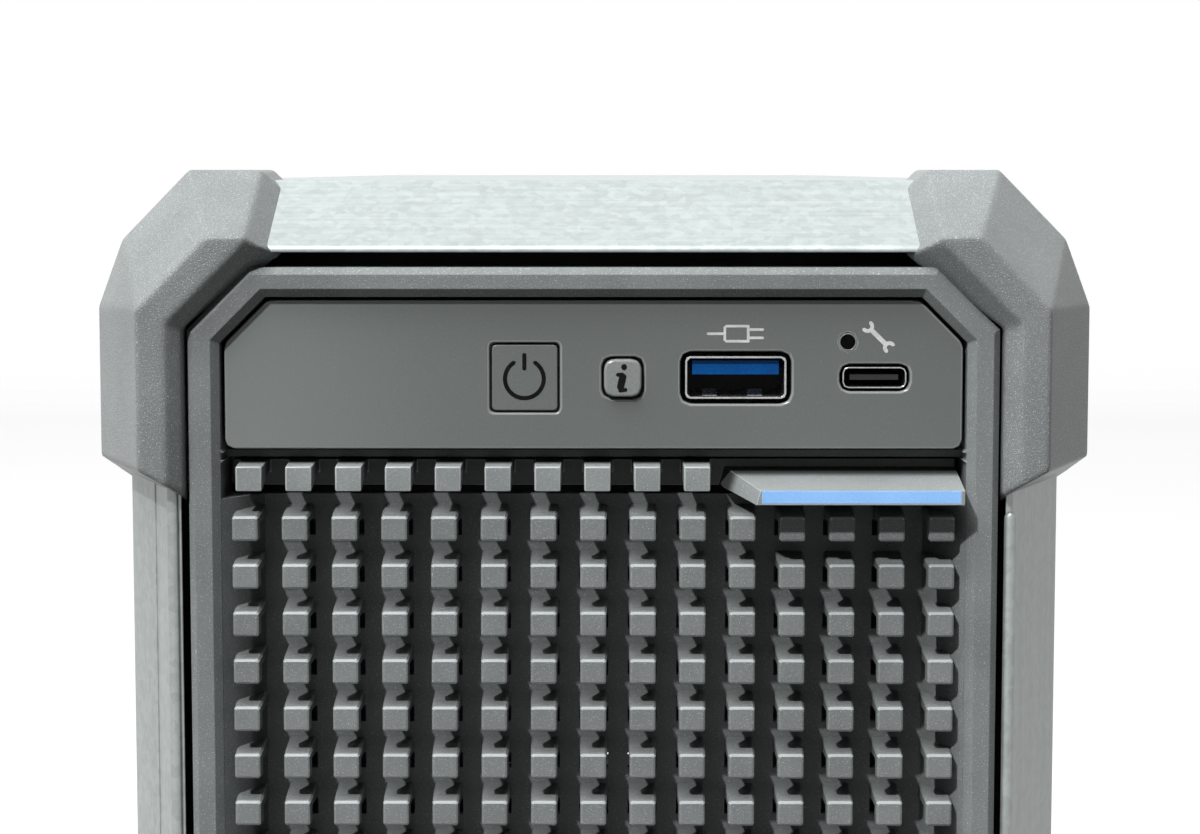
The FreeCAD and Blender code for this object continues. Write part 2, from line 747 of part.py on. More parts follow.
def rubber_feet():
    pad = BUMPER_REACH - RIDGE_CUT_X - CORNER_CUT_X - BUMPER_PROUD
    x0 = RIDGE_HALF - BUMPER_REACH + BUMPER_PROUD / 2
    y0 = RIDGE_Y + BUMPER_PROUD / 2
    front = box(x0, x0 + pad, y0, y0 + BUMPER_TAIL - BUMPER_PROUD, 0, FOOT_HEIGHT)
    rear = box(x0, x0 + pad, REAR_IN_Y - 2 * BUMPER_TAIL, REAR_IN_Y - BUMPER_TAIL, 0, STEEL_BOTTOM)
    return group([front, flip(front), rear, flip(rear)])


# Bezel
def bezel_frame():
    outline = chamfered(BEZEL_HALF, BEZEL_BOTTOM, BEZEL_TOP, BEZEL_CORNER, BEZEL_CORNER)
    edge = inset_corner(BEZEL_CORNER, FRAME_EDGE)
    face = chamfered(
        BEZEL_HALF - FRAME_EDGE, BEZEL_BOTTOM + FRAME_EDGE, BEZEL_TOP - FRAME_EDGE, edge, edge)
    front = taper_y(face, BEZEL_Y, outline, BEZEL_Y + FRAME_EDGE)
    ring = front.fuse(prism_y(outline, BEZEL_Y + FRAME_EDGE, FRAME_BACK_Y))
    corner = inset_corner(PANEL_CORNER, -PANEL_GAP)
    window = chamfered(WINDOW_HALF, DIVIDER_TOP, WINDOW_TOP, FIELD_CORNER, corner)
    field = chamfered(WINDOW_HALF, FIELD_BOTTOM, DIVIDER_BOTTOM, FIELD_CORNER, FIELD_CORNER)
    sight = chamfered(WINDOW_HALF, FIELD_BOTTOM, WINDOW_TOP, FIELD_CORNER, corner)
    wide = chamfered(
        WINDOW_HALF + RIM_BEVEL, FIELD_BOTTOM - RIM_BEVEL, WINDOW_TOP + RIM_BEVEL,
        inset_corner(FIELD_CORNER, -RIM_BEVEL), inset_corner(corner, -RIM_BEVEL))
    cuts = [
        prism_y(window, BEZEL_Y, FRAME_BACK_Y),
        prism_y(field, BEZEL_Y, FRAME_BACK_Y),
        taper_y(wide, BEZEL_Y, sight, BEZEL_Y + RIM_BEVEL),
        box(-WINDOW_HALF, WINDOW_HALF, BEZEL_Y, BEZEL_Y + DIVIDER_RECESS, DIVIDER_BOTTOM, DIVIDER_TOP),
    ]
    for x in hinge_places():
        half = ARM_WIDTH / 2 + NOTCH_PLAY
        skin_y = HINGE_Y - ARM_R - NOTCH_PLAY
        cuts.append(box(x - half, x + half, skin_y, FRAME_BACK_Y, 0, HINGE_Z + ARM_R + HINGE_PLAY))
        bore = PIN_LENGTH / 2 + NOTCH_PLAY
        cuts.append(rod_x(hole(HINGE_R + HINGE_PLAY), x - bore, x + bore, HINGE_Y, HINGE_Z))
    return ring.cut(cuts)


def hinge_places():
    x = BEZEL_HALF - HINGE_INSET
    return (-x, x)


def hinge_arms():
    arms = []
    foot = 4 * ARM_R
    for x in hinge_places():
        half = ARM_WIDTH / 2
        eye = rod_x(ARM_R, x - half, x + half, HINGE_Y, HINGE_Z)
        low = HINGE_Z - ARM_R
        arm = box(x - half, x + half, HINGE_Y, SHOULDER_Y, low, HINGE_Z + ARM_R)
        plate = box(x - half, x + foot, SHOULDER_Y - SHEET, SHOULDER_Y, low, low + 2 * foot)
        bore = rod_x(hole(HINGE_R), x - half, x + half, HINGE_Y, HINGE_Z)
        arms.append(eye.multiFuse([arm, plate]).cut(bore).removeSplitter())
    return group(arms)


def hinge_pins():
    pins = []
    for x in hinge_places():
        start = Vector(x - PIN_LENGTH / 2, HINGE_Y, HINGE_Z)
        pins.append(pivot(HINGE_R, start, start + Vector(PIN_LENGTH, 0, 0)))
    return group(pins)


def grid_columns():
    count = int((2 * WINDOW_HALF - BLOCK_W) / PITCH_X) + 1
    return [(i - (count - 1) / 2) * PITCH_X for i in range(count)]


def grid_rows():
    top = DIVIDER_BOTTOM - FIRST_ROW
    count = int((top - BLOCK_H - FIELD_BOTTOM - DRAFT_TOP) / PITCH_Z) + 1
    return [top - i * PITCH_Z for i in range(count)]


def grille_block(x, top, height, draft_top):
    half = BLOCK_W / 2
    return Part.makeWedge(
        x - half, BEZEL_Y, top - height, top - BLOCK_ROOT, x - half - DRAFT_SIDE,
        x + half, FLOOR_Y, top, top + draft_top, x + half + DRAFT_SIDE)


def flank(side, top):
    edge = side * WINDOW_HALF
    foot = side * (WINDOW_HALF - FLANK_RUN)
    outline = [(edge, BEZEL_Y + RIM_BEVEL), (edge, FLOOR_Y), (foot, FLOOR_Y)]
    return prism_z(outline, FIELD_BOTTOM + FIELD_CORNER, top)


def bezel_grille():
    outline = chamfered(WINDOW_HALF, FIELD_BOTTOM, GRILLE_TOP, FIELD_CORNER, FIELD_CORNER)
    floor = prism_y(outline, FLOOR_Y, FLOOR_Y + FLOOR)
    columns = grid_columns()
    rows = grid_rows()
    vent_half = columns[-2] + BLOCK_W / 2
    vents = []
    for top in rows:
        vent_top = top - BLOCK_ROOT - VENT_GAP
        vents.append(box(
            -vent_half, vent_half, FLOOR_Y, FLOOR_Y + FLOOR, vent_top - VENT_HEIGHT, vent_top))
    blocks = [grille_block(x, top, BLOCK_H, DRAFT_TOP) for top in rows for x in columns]
    flanks = [flank(-1, GRILLE_TOP), flank(1, tab_levels()[0] - LATCH_TRAVEL - LATCH_CLEAR)]
    return floor.cut(vents).multiFuse(blocks + flanks)


# Bezel latch
def latch_bar_levels():
    top = DIVIDER_BOTTOM - LATCH_PLAY
    return GRILLE_TOP + LATCH_TRAVEL + LATCH_CLEAR, top


def tab_levels():
    low = GRILLE_TOP + TAB_LOW
    return low, low + TAB_HEIGHT_FRONT


def tab_x():
    right = WINDOW_HALF - TAB_END_GAP
    return right - TAB_LENGTH, right


def hook_levels():
    low = latch_bar_levels()[0] + HOOK_LIP
    return low, low + HOOK_THICKNESS


def bezel_latch():
    low, high = latch_bar_levels()
    left, right = tab_x()
    bar = box(-right, right, FLOOR_Y, FLOOR_Y + FLOOR, low, high)
    pieces = []
    for x in grid_columns():
        place = x + LATCH_BLOCK_SHIFT
        if place + BLOCK_W / 2 + DRAFT_SIDE < left:
            block_top = high - LATCH_BLOCK_DRAFT
            pieces.append(grille_block(place, block_top, BLOCK_H, LATCH_BLOCK_DRAFT))
    tab_low, front_top = tab_levels()
    back_top = front_top + TAB_RISE
    tab = prism_x([(FRONT_Y, tab_low), (FLOOR_Y, low), (FLOOR_Y, back_top), (FRONT_Y, front_top)], left, right)
    end = trim(
        tab, Vector(left, FLOOR_Y, low), Vector(left + TAB_CHAMFER, FRONT_Y, tab_low),
        Vector(left + TAB_DRAFT, FLOOR_Y, back_top), Vector(left, FRONT_Y, front_top))
    pieces.append(end.cut(latch_touch_strip()))
    hook_low, hook_high = hook_levels()
    tip = SHOULDER_Y + HOOK_REACH
    for x in (-HOOK_SPREAD, HOOK_SPREAD):
        x0 = x - HOOK_WIDTH / 2
        x1 = x + HOOK_WIDTH / 2
        pieces.append(box(x0, x1, FLOOR_Y + FLOOR, tip, hook_low, hook_high))
        lip = [(tip, hook_high), (tip - HOOK_LIP, hook_high + HOOK_LIP), (WALL_BACK_Y + HOOK_LIP, hook_high)]
        pieces.append(prism_x(lip, x0, x1))
    return bar.multiFuse(pieces).removeSplitter()


def latch_touch_strip():
    low, high = tab_levels()
    left, right = tab_x()
    return box(
        left + TAB_CHAMFER + TAB_DRAFT, right - STRIP_END, FRONT_Y, FRONT_Y + STRIP_THICKNESS,
        low + STRIP_EDGE, high)


# Control panel
def port_x(from_right):
    return PANEL_HALF - from_right


def boss_places():
    between = (USB_A_FROM_RIGHT - USB_A_W / 2 + USB_C_FROM_RIGHT + USB_C_W / 2) / 2
    return [-PANEL_HALF + 2 * BOSS, port_x(between)]


def control_panel():
    corner = PANEL_CORNER
    outline = rounded([
        (-PANEL_HALF, PANEL_BOTTOM), (PANEL_HALF, PANEL_BOTTOM), (PANEL_HALF, PANEL_TOP - corner),
        (PANEL_HALF - corner, PANEL_TOP), (-PANEL_HALF + corner, PANEL_TOP), (-PANEL_HALF, PANEL_TOP - corner),
    ], PANEL_ROUND)
    inner = chamfered(
        PANEL_HALF - PANEL_SKIRT, PANEL_BOTTOM + PANEL_SKIRT, PANEL_TOP - PANEL_SKIRT,
        PANEL_SKIRT / 4, inset_corner(corner, PANEL_SKIRT))
    back_y = PANEL_Y + PANEL_PLATE
    shell = prism_y(outline, PANEL_Y, SHOULDER_Y).cut(prism_y(inner, back_y, SHOULDER_Y))
    bosses = [block(x, back_y, CONTROL_Y, PORT_Z, BOSS, BOSS) for x in boss_places()]
    power = POWER_SIZE + 2 * BUTTON_GAP
    info = INFO_SIZE + 2 * BUTTON_GAP
    room_a = USB_A_WALL + USB_A_PLAY
    room_c = USB_C_WALL + USB_C_PLAY
    cuts = [
        rounded_y(power, power, POWER_ROUND, PANEL_Y, back_y, port_x(POWER_FROM_RIGHT), PORT_Z),
        rounded_y(info, info, INFO_ROUND, PANEL_Y, back_y, port_x(INFO_FROM_RIGHT), PORT_Z),
        usb_a_form(room_a, PANEL_Y, back_y),
        usb_c_form(room_c, PANEL_Y, back_y),
        rod_y(hole(LIGHT_R + LIGHT_PLAY), PANEL_Y, back_y, port_x(LIGHT_FROM_RIGHT), PANEL_TOP - LIGHT_DROP),
    ]
    return shell.multiFuse(bosses).cut(cuts)


def button(from_right, size, proud, radius):
    x = port_x(from_right)
    flange_y = PANEL_Y + PANEL_PLATE
    cap = rounded_y(size, size, radius, PANEL_Y - proud, flange_y, x, PORT_Z)
    flange_size = size + 2 * (BUTTON_GAP + BUTTON_FLANGE)
    flange = block(x, flange_y, flange_y + BUTTON_FLANGE, PORT_Z, flange_size, flange_size)
    stem_y = CONTROL_Y - SWITCH_HEIGHT - BUTTON_TRAVEL - BUTTON_GAP
    stem = block(x, flange_y + BUTTON_FLANGE, stem_y, PORT_Z, STEM, STEM)
    return cap.multiFuse([flange, stem])


def light_pipe():
    x = port_x(LIGHT_FROM_RIGHT)
    return rod_y(LIGHT_R, PANEL_Y, CONTROL_Y - LIGHT_R, x, PANEL_TOP - LIGHT_DROP)


def control_board():
    margin = PANEL_SKIRT * 2
    half = PANEL_HALF - margin
    board = box(-half, half, CONTROL_Y, CONTROL_Y + PCB, PANEL_BOTTOM + margin, PANEL_TOP - margin)
    corner = box(-half, half, CONTROL_Y, CONTROL_Y + PCB, PANEL_TOP - PANEL_CORNER, PANEL_TOP)
    board = board.cut(corner)
    pieces = [box(-half + PANEL_CORNER, half - PANEL_CORNER, CONTROL_Y, CONTROL_Y + PCB,
                  PANEL_TOP - PANEL_CORNER, PANEL_TOP - margin)]
    for from_right in (POWER_FROM_RIGHT, INFO_FROM_RIGHT):
        pieces.append(block(port_x(from_right), CONTROL_Y - SWITCH_HEIGHT, CONTROL_Y, PORT_Z, SWITCH, SWITCH))
    pieces.append(block(
        port_x(LIGHT_FROM_RIGHT), CONTROL_Y - LIGHT_R, CONTROL_Y, PANEL_TOP - LIGHT_DROP, LIGHT_R, LIGHT_R))
    x0, x1, z0, z1 = cable_header()
    pieces.append(box(x0, x1, CONTROL_Y + PCB, WALL_BACK_Y + BOARD_GAP, z0, z1))
    return board.multiFuse(pieces).removeSplitter()


def cable_header():
    x0 = -PANEL_HALF + 4 * BOSS
    return x0, x0 + 5 * BOSS, PORT_Z - BOSS, PORT_Z + BOSS


def port_shell_y():
    return PANEL_Y + PORT_SETBACK


def usb_a_form(room, y0, y1):
    x = port_x(USB_A_FROM_RIGHT)
    return rounded_y(USB_A_W + 2 * room, USB_A_H + 2 * room, USB_A_ROUND + room, y0, y1, x, PORT_Z)


def usb_c_form(room, y0, y1):
    x = port_x(USB_C_FROM_RIGHT)
    return rounded_y(USB_C_W + 2 * room, USB_C_H + 2 * room, USB_C_ROUND + room, y0, y1, x, PORT_Z)


def usb_a_shell():
    y = port_shell_y()
    return usb_a_form(USB_A_WALL, y, CONTROL_Y).cut(usb_a_form(0.0, y, CONTROL_Y))


def usb_a_tongue():
    x = port_x(USB_A_FROM_RIGHT)
    core_y = CONTROL_Y - PORT_BACK
    core = usb_a_form(0.0, core_y, CONTROL_Y)
    tongue_y = port_shell_y() + PORT_SETBACK * 2
    tongue_h = USB_A_H * TONGUE_SHARE
    tongue = block(x, tongue_y, core_y, PORT_Z + USB_A_H / 4, USB_A_W - USB_A_SIDE, tongue_h)
    return core.fuse(tongue)


def usb_c_shell():
    y = port_shell_y()
    return usb_c_form(USB_C_WALL, y, CONTROL_Y).cut(usb_c_form(0.0, y, CONTROL_Y))


def usb_c_tongue():
    x = port_x(USB_C_FROM_RIGHT)
    core_y = CONTROL_Y - PORT_BACK
    core = usb_c_form(0.0, core_y, CONTROL_Y)
    tongue_y = port_shell_y() + PORT_SETBACK * 2
    tongue = block(x, tongue_y, core_y, PORT_Z, USB_C_W - 2 * USB_C_SIDE, USB_C_TONGUE)
    return core.fuse(tongue)


def panel_cable():
    x0, x1, z0, z1 = cable_header()
    start = (x0 + x1) / 2
    header_y = WALL_BACK_Y + BOARD_GAP
    plug_y = BOARD_FRONT + STANDOFF
    turn = 3 * BOSS
    lane = BOARD_FACE - STANDOFF
    route = [
        Vector(start, header_y, 0), Vector(start, header_y + 2 * turn, 0),
        Vector(lane, plug_y - 3 * turn, 0), Vector(lane, plug_y, 0),
    ]
    return ribbon(route, turn, SHEET, Vector(0, 0, 1), z0, z1)


# Motherboard and what is on it
def motherboard():
    board = box(BOARD_FACE, BOARD_BACK, BOARD_FRONT, BOARD_REAR, BOARD_BOTTOM, BOARD_TOP)
    z0, z1 = cable_header()[2:]
    plug_y = BOARD_FRONT + STANDOFF
    plug_x = BOARD_FACE - 1.5 * STANDOFF
    pieces = [box(plug_x, BOARD_FACE, plug_y, plug_y + STANDOFF, z0, z1), power_header()]
    for y, z in data_header_places():
        x0 = BOARD_FACE - 2 * STANDOFF
        pieces.append(box(x0, BOARD_FACE, y - STANDOFF / 2, y + STANDOFF / 2, z, z + STANDOFF))
    return board.multiFuse(pieces).removeSplitter()


def board_hole_places():
    edge = STANDOFF
    middle = (BOARD_FRONT + BOARD_REAR) / 2
    return [(y, z) for y in (BOARD_FRONT + edge * 3, middle, BOARD_REAR - edge * 4)
            for z in (BOARD_BOTTOM + edge, BOARD_TOP - edge)]


def standoffs():
    return group([hex_x(BOARD_SCREW, BOARD_BACK, INNER_HALF, y, z) for y, z in board_hole_places()])


def board_screws():
    x0 = BOARD_FACE - BOARD_SCREW_HEAD
    return [hex_x(BOARD_SCREW, x0, BOARD_FACE, y, z) for y, z in board_hole_places()]


def cpu_centre():
    return BOARD_REAR - CPU_IN, BOARD_TOP - CPU_DOWN


def on_board(y, z, depth, height, x0, x1):
    return box(x0, x1, y - depth / 2, y + depth / 2, z - height / 2, z + height / 2)


def cpu_socket():
    y, z = cpu_centre()
    return on_board(y, z, SOCKET, SOCKET + STANDOFF, BOARD_FACE - SOCKET_HEIGHT, BOARD_FACE)


def processor():
    y, z = cpu_centre()
    face = BOARD_FACE - SOCKET_HEIGHT
    return on_board(y, z, CPU, CPU, face - CPU_HEIGHT, face)


def finned(y, z, size, x_base, base, height, fin, pitch):
    # Base plate on the board side, fins towards the side cover, air channels along Y
    size_y, size_z, fin_rows = size
    plate = on_board(y, z, size_y, size_z, x_base - base, x_base)
    count = int((fin_rows - fin) / pitch) + 1
    fins = []
    for i in range(count):
        fin_z = z + (i - (count - 1) / 2) * pitch
        fins.append(on_board(y, fin_z, size_y, fin, x_base - height, x_base - base))
    return plate.multiFuse(fins).removeSplitter()


def sink_face():
    return BOARD_FACE - SOCKET_HEIGHT - CPU_HEIGHT


def sink_screw_places():
    y, z = cpu_centre()
    step_y = SINK / 2 - SINK_SCREW_EDGE
    step_z = (SINK + SINK_FIN_ROWS) / 4
    return [(y + a * step_y, z + b * step_z) for a in (-1, 1) for b in (-1, 1)]


def heat_sink():
    y, z = cpu_centre()
    sink = finned(
        y, z, (SINK, SINK, SINK_FIN_ROWS), sink_face(), SINK_BASE, SINK_HEIGHT, SINK_FIN, SINK_PITCH)
    x0 = sink_face() - SINK_BASE
    return sink.cut([hex_x(2 * SINK_SCREW_R, x0, sink_face(), py, pz) for py, pz in sink_screw_places()])


def heat_sink_screws():
    base_x = sink_face() - SINK_BASE
    solids = []
    for y, z in sink_screw_places():
        head = hex_x(4 * SINK_SCREW_R, base_x - 3 * SINK_SCREW_R, base_x, y, z)
        shank = hex_x(2 * SINK_SCREW_R, base_x, BOARD_FACE, y, z)
        solids.append(head.fuse(shank))
    return group(solids)


def dimm_rows():
    first = BOARD_FRONT + DIMM_IN
    return [first, first + DIMM_PITCH]


def dimm_slot_levels():
    top = BOARD_TOP - DIMM_DOWN
    return top - DIMM_SLOT_LENGTH, top


def lever_pivot():
    return BOARD_FACE - LATCH_LEVER_W, dimm_slot_levels()[0] - LATCH_LEVER_W / 2 - BUTTON_GAP


def memory_slots():
    low, high = dimm_slot_levels()
    pivot_x, pivot_z = lever_pivot()
    top_x = BOARD_FACE - DIMM_SLOT_H
    half = DIMM_SLOT_W / 2
    lever_half = LEVER_THICKNESS / 2 + BUTTON_GAP
    foot = low - LATCH_LEVER_W - 2 * BUTTON_GAP
    solids = []
    for y in dimm_rows():
        body = box(top_x, BOARD_FACE, y - half, y + half, foot, high)
        groove = box(top_x, BOARD_FACE - DIMM_SLOT_H / 2, y - SHEET, y + SHEET, low + SHEET, high)
        gap = box(top_x, BOARD_FACE, y - lever_half, y + lever_half, foot, low)
        bore = rod_y(hole(TRUNNION_R + HINGE_PLAY), y - half, y + half, pivot_x, pivot_z)
        solids.append(body.cut([groove, gap, bore]))
    return group(solids)


def memory_latch(y):
    pivot_x, pivot_z = lever_pivot()
    half = LEVER_THICKNESS / 2
    r = LATCH_LEVER_W / 2
    eye = rod_y(r, y - half, y + half, pivot_x, pivot_z)
    arm = box(pivot_x - LATCH_LEVER, pivot_x, y - half, y + half, pivot_z - r, pivot_z + r)
    start = Vector(pivot_x, y - DIMM_SLOT_W / 2, pivot_z)
    pin = pivot(TRUNNION_R, start, start + Vector(0, DIMM_SLOT_W, 0))
    return eye.multiFuse([arm, pin]).removeSplitter()


def memory_modules():
    low, high = dimm_slot_levels()
    z0 = (low + high - DIMM_LENGTH) / 2
    x1 = BOARD_FACE - DIMM_SLOT_H / 2
    chip_x = x1 - DIMM_HEIGHT / 2
    solids = []
    for y in dimm_rows():
        face_y = y + SHEET / 2
        stick = box(x1 - DIMM_HEIGHT, x1, y - SHEET / 2, face_y, z0, z0 + DIMM_LENGTH)
        chips = []
        for i in range(DIMM_CHIPS):
            z = z0 + (i + 0.5) * DIMM_LENGTH / DIMM_CHIPS
            chips.append(block(chip_x, face_y, face_y + SHEET, z, DIMM_CHIP / 2, DIMM_CHIP))
        solids.append(stick.multiFuse(chips))
    return group(solids)


def coin_cell():
    y = BOARD_FRONT + COIN_IN
    z = dimm_slot_levels()[0]
    face = BOARD_FACE - SHEET
    holder = on_board(y, z, COIN_HOLDER, COIN_HOLDER, face, BOARD_FACE)
    return group([holder, rod_x(COIN_R, face - COIN_HEIGHT, face, y, z)])


def chipset_heat_sink():
    return finned(
        BOARD_FRONT + CHIPSET_IN, BOARD_BOTTOM + CHIPSET_UP, (CHIPSET, CHIPSET, CHIPSET),
        BOARD_FACE, CHIPSET_BASE, CHIPSET_HEIGHT, CHIPSET_FIN, CHIPSET_PITCH)


def expansion_levels():
    # As many slots as fit under the port plate
    first = BOARD_BOTTOM + EXPANSION_UP
    last = io_rect()[2] - SLOT_OPENING / 2 - REAR_EDGE
    count = int((last - first) / EXPANSION_PITCH) + 1
    return [first + i * EXPANSION_PITCH for i in range(count)]


def expansion_slots():
    y1 = BOARD_REAR - SOCKET_IN
    x0 = BOARD_FACE - SOCKET_RISE
    solids = []
    for z in expansion_levels():
        length = SOCKET_LONG if solids else SOCKET_SHORT
        y = y1 - length / 2
        body = on_board(y, z, length, SOCKET_W, x0, BOARD_FACE)
        groove = on_board(y, z, length - 2 * SOCKET_END, SOCKET_GROOVE, x0, BOARD_FACE - SOCKET_FLOOR)
        solids.append(body.cut(groove))
    return group(solids)


def power_header():
    y0 = BOARD_FRONT + STANDOFF
    z0 = BOARD_TOP - POWER_HEADER_DOWN
    return box(
        BOARD_FACE - POWER_HEADER_H, BOARD_FACE, y0, y0 + POWER_HEADER_W, z0, z0 + POWER_HEADER_LENGTH)


def power_plug_box():
    header = power_header().BoundBox
    return header.XMin - POWER_PLUG, header.XMin, header.YMin, header.YMax, header.ZMin, header.ZMax


def board_power_cable():
    x0, x1, y0, y1, z0, z1 = power_plug_box()
    plug = box(x0, x1, y0, y1, z0, z1)
    lane_y = (y0 + y1) / 2
    out_z = (BOTTOM_IN + PSU_TOP) / 2
    rise_y = PSU_Y0 - POWER_CABLE_RUN
    bend_z = BOARD_BOTTOM + POWER_CABLE_BEND
    route = [
        Vector(0, PSU_Y0, out_z), Vector(0, rise_y, out_z), Vector(0, rise_y, bend_z),
        Vector(0, lane_y, bend_z + POWER_CABLE_LEAN), Vector(0, lane_y, z0),
    ]
    cable = ribbon(
        route, POWER_CABLE_BEND, POWER_CABLE, Vector(1, 0, 0), x0 + POWER_CABLE_INSET, x1 - POWER_CABLE_INSET)
    return group([plug, cable])


def data_header_places():
    z = BOARD_BOTTOM + DATA_HEADER_UP
    y = BOARD_FRONT + DATA_HEADER_IN
    return [(y, z), (y + DATA_HEADER_PITCH, z)]


def drive_cables():
    (far_y, z), (near_y, _) = data_header_places()
    x1 = BOARD_FACE - DATA_CABLE_INSET
    solids = []
    for deck, lane in ((0, near_y), (1, far_y)):
        start_z = drive_levels()[deck] + DRIVE_H * 0.6
        rise_y = CAGE_Y1 + DATA_CABLE_RUN * (2 - deck)
        bend_z = BOARD_BOTTOM - DATA_CABLE_BEND + DATA_CABLE_STEP * (1 - deck)
        route = [
            Vector(0, CAGE_Y1, start_z), Vector(0, rise_y, start_z), Vector(0, rise_y, bend_z),
            Vector(0, lane, bend_z + DATA_CABLE_RISE), Vector(0, lane, z),
        ]
        solids.append(ribbon(route, DATA_CABLE_BEND, DATA_CABLE, Vector(1, 0, 0), x1 - DATA_CABLE_W, x1))
    return group(solids)


# Cooling
def fan_frame():
    y0 = WALL_BACK_Y
    y1 = y0 + FAN_DEPTH
    strut_y = y1 - FAN_STRUT
    frame = block(0, y0, y1, FAN_Z, FAN, FAN)
    frame = frame.cut(rod_y(FAN_BORE_R, y0, y1, 0, FAN_Z))
    span = (FAN + 2 * FAN_BORE_R) / 2
    pieces = [
        rod_y(FAN_HUB_R, strut_y, y1, 0, FAN_Z),
        block(0, strut_y, y1, FAN_Z, span, FAN_STRUT),
        block(0, strut_y, y1, FAN_Z, FAN_STRUT, span),
    ]
    return frame.multiFuse(pieces).removeSplitter()


def rotor(hub_r, tip_r, depth, chord, angle, blades):
    # Along +Z from the origin, with its spindle ahead of the hub
    spindle = pivot(SPINDLE_R, Vector(0, 0, -FAN_PLAY / 2), Vector(0, 0, depth))
    pieces = [spindle]
    root = (hub_r + SPINDLE_R) / 2
    for i in range(blades):
        blade = Part.makeBox(tip_r - root, chord, BLADE, Vector(root, -chord / 2, -BLADE / 2))
        blade.rotate(Vector(0, 0, 0), Vector(1, 0, 0), angle)
        blade.translate(Vector(0, 0, depth / 2))
        blade.rotate(Vector(0, 0, 0), Vector(0, 0, 1), 360.0 * i / blades)
        pieces.append(blade)
    return rod_z(hub_r, 0, depth, 0, 0).multiFuse(pieces)


def fan_rotor():
    depth = FAN_DEPTH - FAN_STRUT - 2 * FAN_PLAY
    wheel = rotor(FAN_HUB_R, FAN_BORE_R - FAN_TIP_GAP, depth, FAN_CHORD, FAN_BLADE_ANGLE, FAN_BLADES)
    wheel.Placement = Placement(Vector(0, WALL_BACK_Y + FAN_PLAY, FAN_Z), Rotation(Vector(1, 0, 0), -90))
    return wheel


# Power supply
def psu_centre():
    return (PSU_X0 + PSU_X1) / 2, (PSU_Y0 + REAR_IN_Y) / 2


def inlet_centre():
    return PSU_X1 - INLET_W, BOTTOM_IN + SHEET + PSU_H / 2


def psu_case():
    z0 = BOTTOM_IN
    outer = box(PSU_X0, PSU_X1, PSU_Y0, REAR_IN_Y, z0, PSU_TOP)
    hollow = box(
        PSU_X0 + SHEET, PSU_X1 - SHEET, PSU_Y0 + SHEET, REAR_IN_Y - SHEET, z0 + SHEET, PSU_TOP - SHEET)
    x, y = psu_centre()
    roof_z = PSU_TOP - SHEET / 2
    bars = [
        on_deck(x, y, roof_z, 2 * PSU_FAN_R, GUARD_BAR, SHEET),
        on_deck(x, y, roof_z, GUARD_BAR, 2 * PSU_FAN_R, SHEET),
    ]
    inlet_x, inlet_z = inlet_centre()
    cuts = [hollow, rod_z(PSU_FAN_R, PSU_TOP - SHEET, PSU_TOP, x, y).cut(bars)]
    cuts.append(block(inlet_x, REAR_IN_Y - SHEET, REAR_IN_Y, inlet_z, INLET_W, INLET_H))
    vent_x1 = inlet_x - INLET_W / 2 - PSU_VENT
    vent_z = z0 + 3 * PSU_VENT
    while vent_z < PSU_TOP - 3 * PSU_VENT:
        cuts.append(box(
            PSU_X0 + 2 * PSU_VENT, vent_x1, REAR_IN_Y - SHEET, REAR_IN_Y, vent_z, vent_z + PSU_VENT))
        vent_z += 2 * PSU_VENT
    return outer.cut(cuts)


def on_deck(x, y, z, width, depth, height):
    return box(x - width / 2, x + width / 2, y - depth / 2, y + depth / 2, z - height / 2, z + height / 2)


def psu_board():
    x, y = psu_centre()
    x0 = PSU_X0 + PSU_EDGE
    x1 = PSU_X1 - PSU_EDGE
    y0 = PSU_Y0 + PSU_EDGE
    y1 = REAR_IN_Y - INLET_D - 2 * PSU_EDGE
    z0 = BOTTOM_IN + SHEET
    z1 = z0 + PSU_EDGE
    top = z1 + PCB
    pieces = [
        box(x0, x1, y0, y0 + PSU_EDGE, z0, z1),
        box(x0, x1, y1 - PSU_EDGE, y1, z0, z1),
        on_deck(x, y, top + CORE / 2, CORE, CORE, CORE),
        on_deck(x + CORE, y - CORE, top + CAN_HEIGHT / 2, CAN, CAN, CAN_HEIGHT),
        on_deck(x - CORE - PLATE, y - CORE / 2, top + CORE / 2, PLATE, PLATE_LENGTH, CORE),
    ]
    return box(x0, x1, y0, y1, z1, top).multiFuse(pieces).removeSplitter()


def psu_rotor():
    x, y = psu_centre()
    wheel = rotor(PSU_HUB_R, PSU_FAN_R - FAN_TIP_GAP, PSU_FAN_DEPTH, PSU_CHORD, PSU_BLADE_ANGLE, PSU_BLADES)
    wheel.translate(Vector(x, y, PSU_TOP - SHEET - FAN_PLAY - PSU_FAN_DEPTH))
    return wheel


def inlet_floor():
    # Front of the plug's room, and the inlet's outer face
    outer = REAR_IN_Y + INLET_FLANGE
    return outer - INLET_D + 3 * INLET_WALL, outer


def ac_inlet():
    x, z = inlet_centre()
    floor_y, y1 = inlet_floor()
    body = block(x, y1 - INLET_D, y1, z, INLET_W, INLET_H)
    plate = block(x, REAR_IN_Y, y1, z, INLET_W + 2 * INLET_WALL, INLET_H + 2 * INLET_WALL)
    cavity = block(x, floor_y, y1, z, INLET_W - 2 * INLET_WALL, INLET_H - 2 * INLET_WALL)
    return body.fuse(plate).cut(cavity)


def ac_pins():
    x, z = inlet_centre()
    floor_y, y1 = inlet_floor()
    solids = []
    for i in (-1, 0, 1):
        rise = INLET_WALL * (1 - 2 * abs(i))
        place = x + i * BLADE_PIN_PITCH
        solids.append(block(place, floor_y, y1 - BLADE_PIN_SHY, z + rise, BLADE_PIN_W, BLADE_PIN_H))
    return group(solids)


# Drives
def cage_half():
    return DRIVE_W / 2 + TRAY + CAGE_SIDE_PLAY


def cage_x():
    # The cage stands on the flat of the bottom panel
    return INNER_HALF - inset_corner(STEEL_CORNER, SHEET) - SHEET - cage_half()


